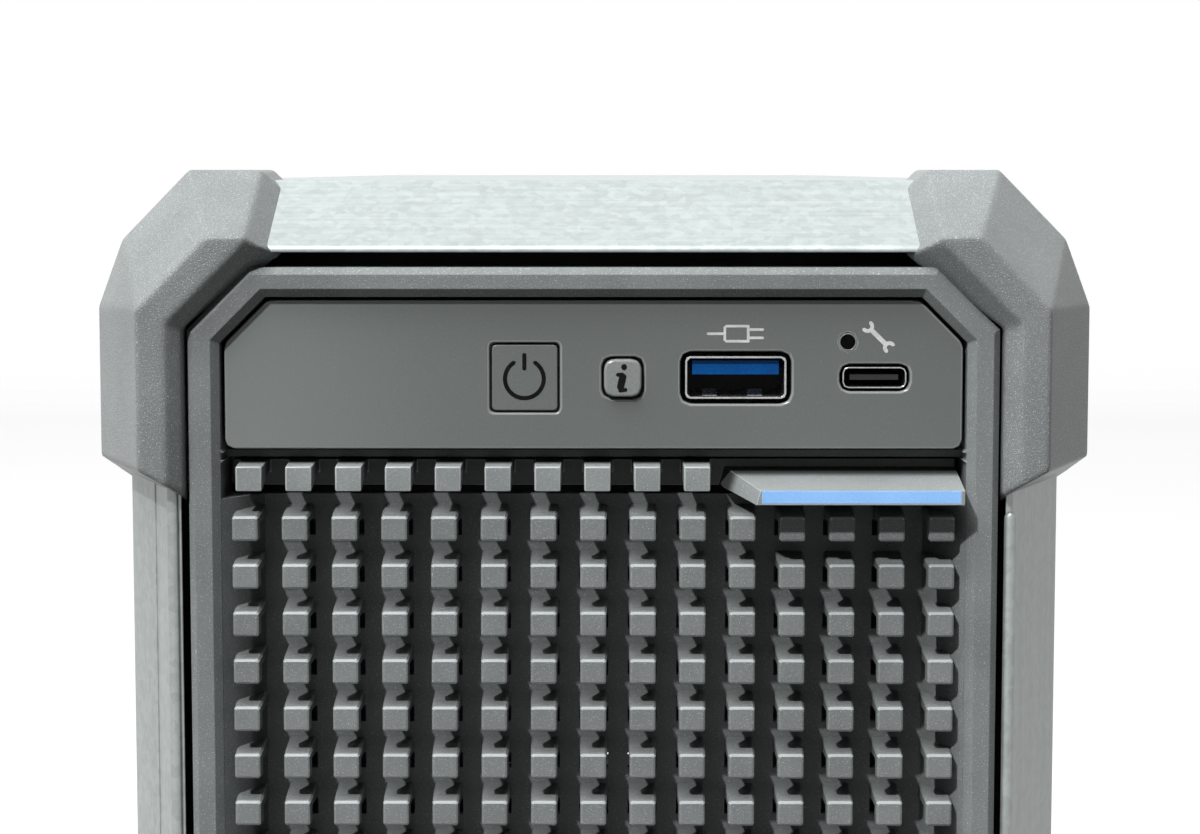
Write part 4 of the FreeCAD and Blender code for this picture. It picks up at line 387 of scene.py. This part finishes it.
# a thick moulding with soft edges: skinned over on a fine grid, then relaxed so that each edge is a round
def softened(node, look):
    name = node + "_soft"
    mesh = tucked(meshFrom(flatForm(node), name), look)
    piece = place(name, mesh, bodyOf[node], finishOf[node])
    skin = piece.modifiers.new("skin", "REMESH")
    skin.mode = "VOXEL"
    skin.voxel_size = look["grid"] * mm
    skin.use_smooth_shade = True
    relax = piece.modifiers.new("softEdge", "SMOOTH")
    relax.factor = look["relax"]
    relax.iterations = look["passes"]
    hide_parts(node)


moulding = dict(grid=0.4, relax=0.5, passes=5, tuck=1.6, half=64.85, wall=54.1, beside=0.2, swing=-180.0,
                lip=-184.55, tail=-155.0, top=324.65, bottom=3.95, middle=164.0)
for node in ("upper_right_bumper", "upper_left_bumper", "lower_right_bumper", "lower_left_bumper"):
    softened(node, moulding)
# width of each bevel, its steps and, for the latch, the x past which its lips are thin
easedEdges = {
    "bezel_frame": (0.1, 2), "control_panel": (0.3, 4), "power_button": (0.15, 3), "info_button": (0.4, 4),
    "bezel_latch": (0.22, 3, 16.0), "latch_touch_strip": (0.06, 2), "usb_a_shell": (0.06, 2),
    "usb_c_shell": (0.06, 2), "rubber_feet": (0.5, 3), "top_panel": (0.45, 3), "bottom_panel": (0.4, 3),
    "right_panel": (0.3, 3), "left_post": (0.3, 3), "side_cover": (0.2, 2), "cover_thumbscrews": (0.4, 3),
}
for node, look in easedEdges.items():
    eased(node, *look)
print("edges eased on", len(easedEdges), "nodes")


def meshOf(name, points, faces):
    mesh = bpy.data.meshes.new(name)
    mesh.from_pydata((np.asarray(points) * mm).tolist(), [], faces)
    mesh.update()
    return mesh


# points along each kind of curve
curveSteps = dict(end=8, bead=17, line=24, turn=48, rim=12, lens=8, sweep=24)


# four corners of each cell of a grid of point numbers
def gridQuads(index):
    return np.stack([index[:-1, :-1], index[1:, :-1], index[1:, 1:], index[:-1, 1:]], axis=-1)


corners = 8


# eight-cornered loop: a rectangle of half width, bottom and top with each corner cut by the same amount
def loop(half, bottom, top, cut, depth):
    x = np.array([-half + cut, half - cut, half, half, half - cut, -half + cut, -half, -half])
    z = np.array([bottom, bottom, bottom + cut, top - cut, top, top, top - cut, bottom + cut])
    return np.stack([x, np.full(corners, depth), z], axis=1)


grille = dict(columns=15, rows=41, pitchX=6.6, pitchZ=6.4, firstTop=280.25, width=3.5, height=3.35,
              front=-186.0, floor=-178.6, thick=2.0, edge=0.32, edgeShare=0.3, corner=0.26,
              faceCorner=0.5, edgeCorner=0.8, draftSide=0.15, draftTop=0.8, plateSide=0.03, plateTop=0.15,
              neckSide=0.04, neckTop=0.2, neckRun=0.1, rootGap=0.02, face=1.9, roof=1.2, half=49.45,
              bottom=19.3, top=282.45, holeHalf=1.98, holeTop=1.3, holeBottom=3.45, flankRun=5.0,
              flankFront=-184.9, flankFoot=19.7, flankTop=(282.45, 281.35))


# columns' middles from left to right, and the tops of the rows from the upper one down
def grillePlaces(g):
    x = (np.arange(g["columns"]) - (g["columns"] - 1) / 2) * g["pitchX"]
    return x, g["firstTop"] - np.arange(g["rows"]) * g["pitchZ"]


# blocks: hoods made of nested loops, from the inset face to the plate's back, then the roof to its root
def grilleBlocks(g):
    half = g["width"] / 2
    tall = g["height"]
    cut = g["corner"]
    full = g["edge"]
    part = full * g["edgeShare"]
    front = g["front"]
    back = front + g["face"]
    loops = np.concatenate([
        loop(half - full, full - tall, -full, cut * g["faceCorner"], front),
        loop(half - part, part - tall, -part, cut * g["edgeCorner"], front + part),
        loop(half, -tall, 0.0, cut, front + full),
        loop(half + g["plateSide"], -tall, g["plateTop"], cut, back),
        loop(half + g["neckSide"], -g["roof"], g["neckTop"], cut, back + g["neckRun"]),
        loop(half + g["draftSide"], -g["roof"], g["draftTop"], cut, g["floor"] + g["rootGap"])])
    step = np.arange(corners)
    after = (step + 1) % corners
    ring = np.stack([step, step + corners, after + corners, after], axis=1)
    rings = np.concatenate([ring + corners * i for i in range(len(loops) // corners - 1)])
    x, z = grillePlaces(g)
    cells = np.stack([a.ravel() for a in np.broadcast_arrays(x[None, :], 0.0, z[:, None])], axis=1)
    points = (loops[None] + cells[:, None]).reshape(-1, 3)
    shift = np.arange(len(cells))[:, None, None] * len(loops)
    sides = (rings[None] + shift).reshape(-1, 4)
    caps = (step[None, None] + shift).reshape(-1, corners)
    face = np.arange(len(rings))
    # painted highlight: the upper eased edges take the paler finish
    upper = (face < 2 * corners) & np.isin(face % corners, (3, 4, 5))   # both eased rings, upper edge
    paintedHighlight = np.concatenate([np.tile(upper, len(cells)), np.zeros(len(cells), bool)])
    return points, sides.tolist() + caps.tolist(), paintedHighlight


# floor: a sheet on the grid of hole edges, with the cells that fall in a hole left out
def grilleFloor(g):
    x, z = grillePlaces(g)
    lineX = np.sort(np.concatenate([[-g["half"], g["half"]], x - g["holeHalf"], x + g["holeHalf"]]))
    lineZ = np.sort(np.concatenate([[g["bottom"], g["top"]], z - g["holeTop"], z - g["holeBottom"]]))
    lineZ = lineZ[lineZ >= g["bottom"]]
    midX = (lineX[1:] + lineX[:-1]) / 2
    midZ = (lineZ[1:] + lineZ[:-1]) / 2
    inX = (np.abs(midX[:, None] - x[None, 1:-1]) < g["holeHalf"]).any(1)
    inZ = ((midZ[:, None] < z - g["holeTop"]) & (midZ[:, None] > z - g["holeBottom"])).any(1)
    keep = ~(inX[:, None] & inZ[None, :])
    gridX, gridZ = np.meshgrid(lineX, lineZ, indexing="ij")
    points = np.stack([gridX, np.full_like(gridX, g["floor"]), gridZ], axis=-1).reshape(-1, 3)
    return points, gridQuads(np.arange(gridX.size).reshape(gridX.shape))[keep].tolist()


# flanks: a three-cornered bar up each side, its long face sloping from the window's edge in to the floor
def grilleFlank(g, side, top):
    outer = side * g["half"]
    x = np.array([outer, outer, outer - side * g["flankRun"]])
    y = np.array([g["flankFront"], g["floor"], g["floor"]])
    z = np.array([g["flankFoot"], top])
    points = np.stack(np.broadcast_arrays(x[None, :], y[None, :], z[:, None]), axis=-1).reshape(-1, 3)
    faces = [[0, 1, 4, 3], [1, 2, 5, 4], [2, 0, 3, 5], [2, 1, 0], [3, 4, 5]]
    return points, faces if side > 0 else [face[::-1] for face in faces]


points, faces, paintedHighlight = grilleBlocks(grille)
mesh = meshOf("grille_blocks", points, faces)
blocks = place("grille_blocks", mesh, "bezel", "bezelSkin")
# painted highlight: the blocks' upper eased edges in the paler finish
blocks.data.materials.append(finishes["bezelPaintedHighlight"])
blocks.data.polygons.foreach_set("material_index", paintedHighlight.astype(np.int32))
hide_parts("bezel_grille")
mesh = meshOf("grille_floor", *grilleFloor(grille))
piece = place("grille_floor", mesh, "bezel", "bezelSkin")
thickened(piece, "floorThickness", grille["thick"], -1.0)
leftTop, rightTop = grille["flankTop"]
for name, side, top in (("grille_flank_left", -1, leftTop), ("grille_flank_right", 1, rightTop)):
    place(name, meshOf(name, *grilleFlank(grille, side, top)), "bezel", "bezelSkin")
print("grille made:", grille["columns"] * grille["rows"], "blocks")


# strip: a closed outline in x and y carried up z, its end narrowed to its middle as a quarter circle
def upright(outline, low, high, roundEnd, tip=0.02):
    outline = np.asarray(outline, float)
    middle = outline.mean(0)
    turn = np.linspace(0, math.pi / 2, curveSteps["end"])[1:] if roundEnd else np.empty(0)
    size = np.concatenate([[1.0, 1.0], np.maximum(np.cos(turn), tip)])
    z = np.concatenate([[low, high - roundEnd], high - roundEnd + roundEnd * np.sin(turn)])
    flat = middle + (outline - middle)[None] * size[:, None, None]
    tall = np.broadcast_to(z[:, None, None], flat.shape[:2] + (1,))
    points = np.concatenate([flat, tall], axis=2).reshape(-1, 3)
    index = np.arange(len(points)).reshape(len(z), len(outline))
    turned = np.roll(index, -1, axis=1)
    quads = np.stack([index[:-1], turned[:-1], turned[1:], index[1:]], axis=-1).reshape(-1, 4)
    return points, quads.tolist() + [index[0, ::-1].tolist(), index[-1].tolist()]


# half round: an ellipse's front half, turned between the front and the side, closed by a flat back
def halfRound(centre, halfWidth, proud, facing):
    turn = np.linspace(0, math.pi, curveSteps["bead"])
    across = np.array([math.cos(math.radians(facing)), math.sin(math.radians(facing))])
    out = np.array([across[1], -across[0]])
    middle = np.asarray(centre) + halfWidth * np.cos(turn)[:, None] * across
    return middle + proud * np.sin(turn)[:, None] * out


steelEdge = dict(low=44.0, high=284.0, beadTop=280.7, beadRound=0.8, beadHalf=0.85, beadProud=0.75,
                 leftBead=(-56.0, -184.4), rightBead=(55.45, -184.5), leftTurn=-26.0, rightTurn=8.0,
                 outer=(64.8, -165.0), lip=(55.7, -184.5), crisp=35.0, hemThick=0.22,
                 hemShare=(0.565, 0.565, 0.561, 0.553, 0.04, 0.03),
                 hemRise=(-0.3, 0.35, 0.8, 1.0, 1.0, -0.3))


# hem: a thin sheet on the left taper, by shares of the way from its outer corner, its inner edge rounded
def hemOutline(look):
    outer = np.array([-look["outer"][0], look["outer"][1]])
    along = np.array([-look["lip"][0], look["lip"][1]]) - outer
    length = np.linalg.norm(along)
    along /= length
    out = np.array([along[1], -along[0]])
    share = np.array(look["hemShare"])
    rise = np.array(look["hemRise"]) * look["hemThick"]
    return outer + share[:, None] * length * along + rise[:, None] * out


def beadOutline(look, side):
    return halfRound(look[side + "Bead"], look["beadHalf"], look["beadProud"], look[side + "Turn"])


for name, outline, top, roundEnd in (
        ("left_hem", hemOutline(steelEdge), steelEdge["high"], 0.0),
        ("left_bead", beadOutline(steelEdge, "left"), steelEdge["high"], 0.0),
        ("right_bead", beadOutline(steelEdge, "right"), steelEdge["beadTop"], steelEdge["beadRound"])):
    mesh = meshOf(name, *upright(outline, steelEdge["low"], top, roundEnd))
    form = bmesh.new()
    form.from_mesh(mesh)
    bmesh.ops.recalc_face_normals(form, faces=form.faces)
    form.to_mesh(mesh)
    form.free()
    smoothed(mesh).set_sharp_from_angle(angle=math.radians(steelEdge["crisp"]))
    place(name, mesh, "chassis", "zincUprightShaded")
print("steel edges made")


# stroke: a band of the given width along a path, its ends rounded by narrowing the width as a half circle
def stroke(path, width, tip=0.002):
    path = np.asarray(path, float)
    along = np.gradient(path, axis=0)
    along /= np.linalg.norm(along, axis=1)[:, None]
    across = np.stack([-along[:, 1], along[:, 0]], axis=1)
    run = np.concatenate([[0], np.cumsum(np.linalg.norm(np.diff(path, axis=0), axis=1))])
    left = np.minimum(run, run[-1] - run) / (width / 2)
    size = width / 2 * np.sqrt(np.clip(1 - np.clip(1 - left, 0, 1) ** 2, tip, 1))
    edge = np.stack([path + across * size[:, None], path - across * size[:, None]], axis=1)
    index = np.arange(len(path) * 2).reshape(-1, 2)
    quads = np.stack([index[:-1, 0], index[:-1, 1], index[1:, 1], index[1:, 0]], axis=1)
    return edge.reshape(-1, 2), quads


def arcPath(centre, radius, start, end, count=48):
    turn = np.radians(np.linspace(start, end, count))
    return np.stack([centre[0] + radius * np.cos(turn), centre[1] + radius * np.sin(turn)], axis=1)


def linePath(start, end):
    share = np.linspace(0, 1, curveSteps["line"])[:, None]
    return np.asarray(start) * (1 - share) + np.asarray(end) * share


# mark: strokes joined in one thin print on a face that looks along -Y, each a layer ahead of the last
def mark(name, strokes, face, thick, body, finish, layer=0.006):
    points = []
    faces = []
    count = 0
    for order, (edge, quads) in enumerate(strokes):
        depth = np.full(len(edge), face - layer * order)
        points.append(np.stack([edge[:, 0], depth, edge[:, 1]], axis=1))
        faces += (quads + count).tolist()
        count += len(edge)
    piece = place(name, meshOf(name, np.concatenate(points), faces), body, finish)
    thickened(piece, "printThickness", thick, 0.0)


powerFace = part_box("power_button")[0].y / mm
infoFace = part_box("info_button")[0].y / mm
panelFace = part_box("control_panel")[0].y / mm
inkThick = dict(button=0.04, panel=0.03)
powerMark = [
    stroke(arcPath((-9.15, 298.4), radius=2.57, start=116, end=424), width=0.56),
    stroke(linePath((-9.15, 301.85), (-9.15, 299.5)), width=0.56)]
infoMark = [
    stroke(linePath((3.68, 300.0), (4.46, 300.06)), width=0.82),
    stroke(linePath((3.0, 299.0), (4.1, 299.06)), width=0.5),
    stroke(linePath((4.0, 299.2), (3.5, 296.95)), width=0.95),
    stroke(linePath((3.3, 296.9), (4.5, 297.05)), width=0.5)]
serviceMark = [
    stroke(linePath((36.62, 305.06), (38.88, 302.86)), width=0.62),
    stroke(arcPath((36.30, 305.36), radius=0.60, start=198, end=432, count=40), width=0.5),
    stroke(arcPath((39.20, 302.56), radius=0.60, start=18, end=252, count=40), width=0.5)]
connectorMark = [
    stroke(linePath((15.0, 304.4), (17.4, 304.4)), width=0.34),
    stroke(linePath((17.4, 305.4), (17.4, 303.4)), width=0.34),
    stroke(linePath((17.4, 305.4), (20.5, 305.4)), width=0.34),
    stroke(linePath((17.4, 303.4), (20.5, 303.4)), width=0.34),
    stroke(linePath((20.5, 305.6), (20.5, 303.2)), width=0.36),
    stroke(linePath((20.6, 304.95), (22.6, 304.95)), width=0.36),
    stroke(linePath((20.6, 303.85), (22.6, 303.85)), width=0.36)]
mark("power_mark", powerMark, powerFace, inkThick["button"], "power_button", "darkMark")
mark("info_mark", infoMark, infoFace, inkThick["button"], "info_button", "darkMark")
mark("service_mark", serviceMark, panelFace, inkThick["panel"], "chassis", "paleMark")
mark("connector_mark", connectorMark, panelFace, inkThick["panel"], "chassis", "paleMark")
print("panel marks made")


# round: a profile of radius and depth turned about an axis along Y
def spun(profile, centre):
    radius, depth = np.asarray(profile, float).T
    turn = np.linspace(0, 2 * math.pi, curveSteps["turn"], endpoint=False)
    x = centre[0] + radius[:, None] * np.cos(turn)
    z = centre[1] + radius[:, None] * np.sin(turn)
    points = np.stack([x, np.broadcast_to(depth[:, None], x.shape), z], axis=-1).reshape(-1, 3)
    index = np.arange(x.size).reshape(x.shape)
    turned = np.roll(index, -1, axis=1)
    quads = np.stack([index[:-1], index[1:], turned[1:], turned[:-1]], axis=-1).reshape(-1, 4)
    return points, quads.tolist()


# spring tongue: a strip as wide as given that rises on most of a half wave along its depth
def springTongue(look, x):
    depth = np.linspace(look["front"], look["back"], look["steps"])
    rise = look["foot"] + look["rise"] * np.sin(np.linspace(look["start"], math.pi, look["steps"]))
    across = np.array([x - look["half"], x + look["half"]])
    gridX, gridY = np.meshgrid(across, depth, indexing="ij")
    points = np.stack([gridX, gridY, np.broadcast_to(rise, gridX.shape)], axis=-1).reshape(-1, 3)
    return points, gridQuads(np.arange(gridX.size).reshape(gridX.shape)).reshape(-1, 4).tolist()


indicator = dict(centre=(33.7, 303.3), radius=1.09, rim=0.09, sink=0.02, core=0.01)


# rim: a small circle about the indicator's edge, closed on itself
def rimProfile(look, face):
    turn = np.linspace(0, 2 * math.pi, curveSteps["rim"], endpoint=False)
    radius = look["radius"] + look["rim"] * np.cos(turn)
    profile = np.stack([radius, face + look["rim"] * np.sin(turn)], axis=1)
    return np.concatenate([profile, profile[:1]])


# lens: a shallow dish, its rise the square of the share of the radius, from the edge to the core
def lensProfile(look, face):
    share = np.linspace(1.0, look["core"], curveSteps["lens"])
    return np.stack([look["radius"] * share, face - look["sink"] * share ** 2], axis=1)


for name, profile, slotName, finish in (
        # the rim takes the paler edge finish: a painted highlight
        ("indicator_rim", rimProfile(indicator, panelFace), "panel_plastic", "panelPaintedHighlight"),
        ("indicator_lens", lensProfile(indicator, panelFace), "light_pipe", "lightPipe")):
    mesh = smoothed(meshOf(name, *spun(profile, indicator["centre"])))
    place(name, mesh, "chassis", finish)
portSprings = dict(places=(15.45, 21.45), half=0.98, front=-183.2, back=-177.5, foot=296.0, rise=0.75,
                   start=0.2, steps=16, thick=0.12)
for count, x in enumerate(portSprings["places"]):
    name = "usb_a_spring_%d" % (count + 1)
    piece = place(name, meshOf(name, *springTongue(portSprings, x)), "chassis", "portSteel")
    thickened(piece, "leafThickness", portSprings["thick"], 0.0)
print("indicator and port springs made")


rearLouvre = dict(first=152.6, step=10.0, count=16, height=5.0, left=-46.8, right=9.3, wall=185.0,
                  reach=4.6, inward=(0.0, 0.06, 0.16, 0.3, 1.0), upward=(0.0, 0.02, 0.1, 0.24, 1.0),
                  thick=0.6)


# louvres: a bent leaf behind each rear slot, from the slot's lower edge inwards and up
def louvres(look):
    low = look["first"] + look["step"] * np.arange(look["count"])
    y = look["wall"] - look["reach"] * np.array(look["inward"])
    rise = look["height"] * np.array(look["upward"])
    x = np.array([look["left"], look["right"]])
    shape = (look["count"], len(y), 2)
    points = np.stack([np.broadcast_to(x, shape), np.broadcast_to(y[None, :, None], shape),
                       np.broadcast_to((low[:, None] + rise)[:, :, None], shape)], axis=-1).reshape(-1, 3)
    index = np.arange(len(points)).reshape(shape)
    left = index[:, :, 0]
    right = index[:, :, 1]
    quads = np.stack([left[:, :-1], left[:, 1:], right[:, 1:], right[:, :-1]], axis=-1).reshape(-1, 4)
    return points, quads.tolist()


mesh = meshOf("rear_louvres", *louvres(rearLouvre))
piece = place("rear_louvres", mesh, "chassis", "zincSheet")
thickened(piece, "leafThickness", rearLouvre["thick"], 1.0)
print("rear louvres made")


# one where a ray comes from the camera, a reflection or through glass, nought where it lights the object
def looking(wire):
    seen = wire.node("ShaderNodeLightPath", {}, {}, "Is Camera Ray")
    mirrored = wire.node("ShaderNodeLightPath", {}, {}, "Is Glossy Ray")
    through = wire.node("ShaderNodeLightPath", {}, {}, "Is Transmission Ray")
    return wire.math("MINIMUM", seen + mirrored + through, 1.0)


# room: white to the camera and in reflections, softer as light on the object; lengths in metres
roomLight = dict(soft=0.05, key=3.5, keySize=2.5, keyFrom=(-2.8, -5.0, 5.25), aim=(0.0, -0.1, 0.25),
                 above=dict(power=80.0, size=1.6, place=(-0.5, -0.62, 2.3)),
                 left=dict(power=26.0, size=3.0, place=(-1.8, 0.4, 1.6)))
scene = bpy.context.scene
world = bpy.data.worlds.new("studio")
scene.world = world
world.use_nodes = True
world.node_tree.nodes.clear()
air = Wire(world.node_tree)
strength = roomLight["soft"] + looking(air) * (1 - roomLight["soft"])
glow = air.node("ShaderNodeBackground", {}, {"Color": grey(1.0), "Strength": strength})
air.node("ShaderNodeOutputWorld", {}, {"Surface": glow})


def hang(name, kind, energy):
    lamp = bpy.data.objects.new(name, bpy.data.lights.new(name, kind))
    lamp.data.energy = energy
    scene.collection.objects.link(lamp)
    return lamp


key = hang("keyLight", "SUN", roomLight["key"])
key.data.angle = math.radians(roomLight["keySize"])
keyX, keyY, keyZ = roomLight["keyFrom"]
key.rotation_euler = (math.atan2(math.hypot(keyX, keyY), keyZ), 0.0, math.atan2(-keyX, keyY) + math.pi)

for name in ("above", "left"):
    look = roomLight[name]
    lamp = hang(name + "Softbox", "AREA", look["power"])
    lamp.data.size = look["size"]
    lamp.location = look["place"]
    lamp.rotation_euler = (Vector(roomLight["aim"]) - lamp.location).to_track_quat("-Z", "Y").to_euler()
    lamp.visible_glossy = False   # bare metal shows the white room, not these lamps


floorLook = dict(half=6.0, front=-6.0, back=3.0, bend=1.0, rise=3.0, white=0.7, clear=0.3, paper=0.8,
                 bounce=0.1)


# floor: a wide pale sheet that curves up behind the object in a quarter circle, in metres
def sweep(look):
    turn = np.linspace(0, math.pi / 2, curveSteps["sweep"])
    wall = look["back"] + look["bend"]
    y = np.concatenate([[look["front"]], look["back"] + look["bend"] * np.sin(turn), [wall]])
    z = np.concatenate([[0.0], look["bend"] * (1 - np.cos(turn)), [look["rise"]]])
    x = np.array([-look["half"], look["half"]])
    gridX, gridY = np.meshgrid(x, y, indexing="ij")
    gridZ = np.broadcast_to(z, gridX.shape)
    points = np.stack([gridX, gridY, gridZ], axis=-1).reshape(-1, 3)
    return points / mm, gridQuads(np.arange(gridX.size).reshape(gridX.shape)).reshape(-1, 4).tolist()


floor = bpy.data.objects.new("studio_floor", meshOf("studio_floor", *sweep(floorLook)))
scene.collection.objects.link(floor)
paper, sheet, coords = newFinish("palePaper")
seen = looking(sheet)
tint = mixed(sheet, seen, grey(floorLook["bounce"]), grey(floorLook["paper"]))
matt = sheet.node("ShaderNodeBsdfDiffuse", {}, {"Color": tint})
bright = sheet.node("ShaderNodeEmission", {}, {"Color": grey(1.0), "Strength": 1.0})
height = sheet.node("ShaderNodeSeparateXYZ", {}, {0: coords}, "Z")
upBack = between(sheet, height, 0.0, floorLook["clear"])   # all white there
white = floorLook["white"] + upBack * (1.0 - floorLook["white"])
surface = sheet.node("ShaderNodeMixShader", {}, {0: seen * white, 1: matt, 2: bright})
sheet.node("ShaderNodeOutputMaterial", {}, {"Surface": surface})
floor.data.materials.append(paper)
print("room made")

view = dict(eye=(0.0022, -0.541, 0.326), down=5.23, left=0.212, lens=81.0, sensor=36.0, near=0.01)
lens = bpy.data.cameras.new("camera")
lens.lens = view["lens"]
lens.sensor_width = view["sensor"]
lens.sensor_fit = "HORIZONTAL"
lens.clip_start = view["near"]
camera = bpy.data.objects.new("camera", lens)
scene.collection.objects.link(camera)
camera.location = view["eye"]
camera.rotation_euler = (math.radians(90 - view["down"]), 0.0, math.radians(view["left"]))
scene.camera = camera
scene.view_settings.view_transform = "Standard"
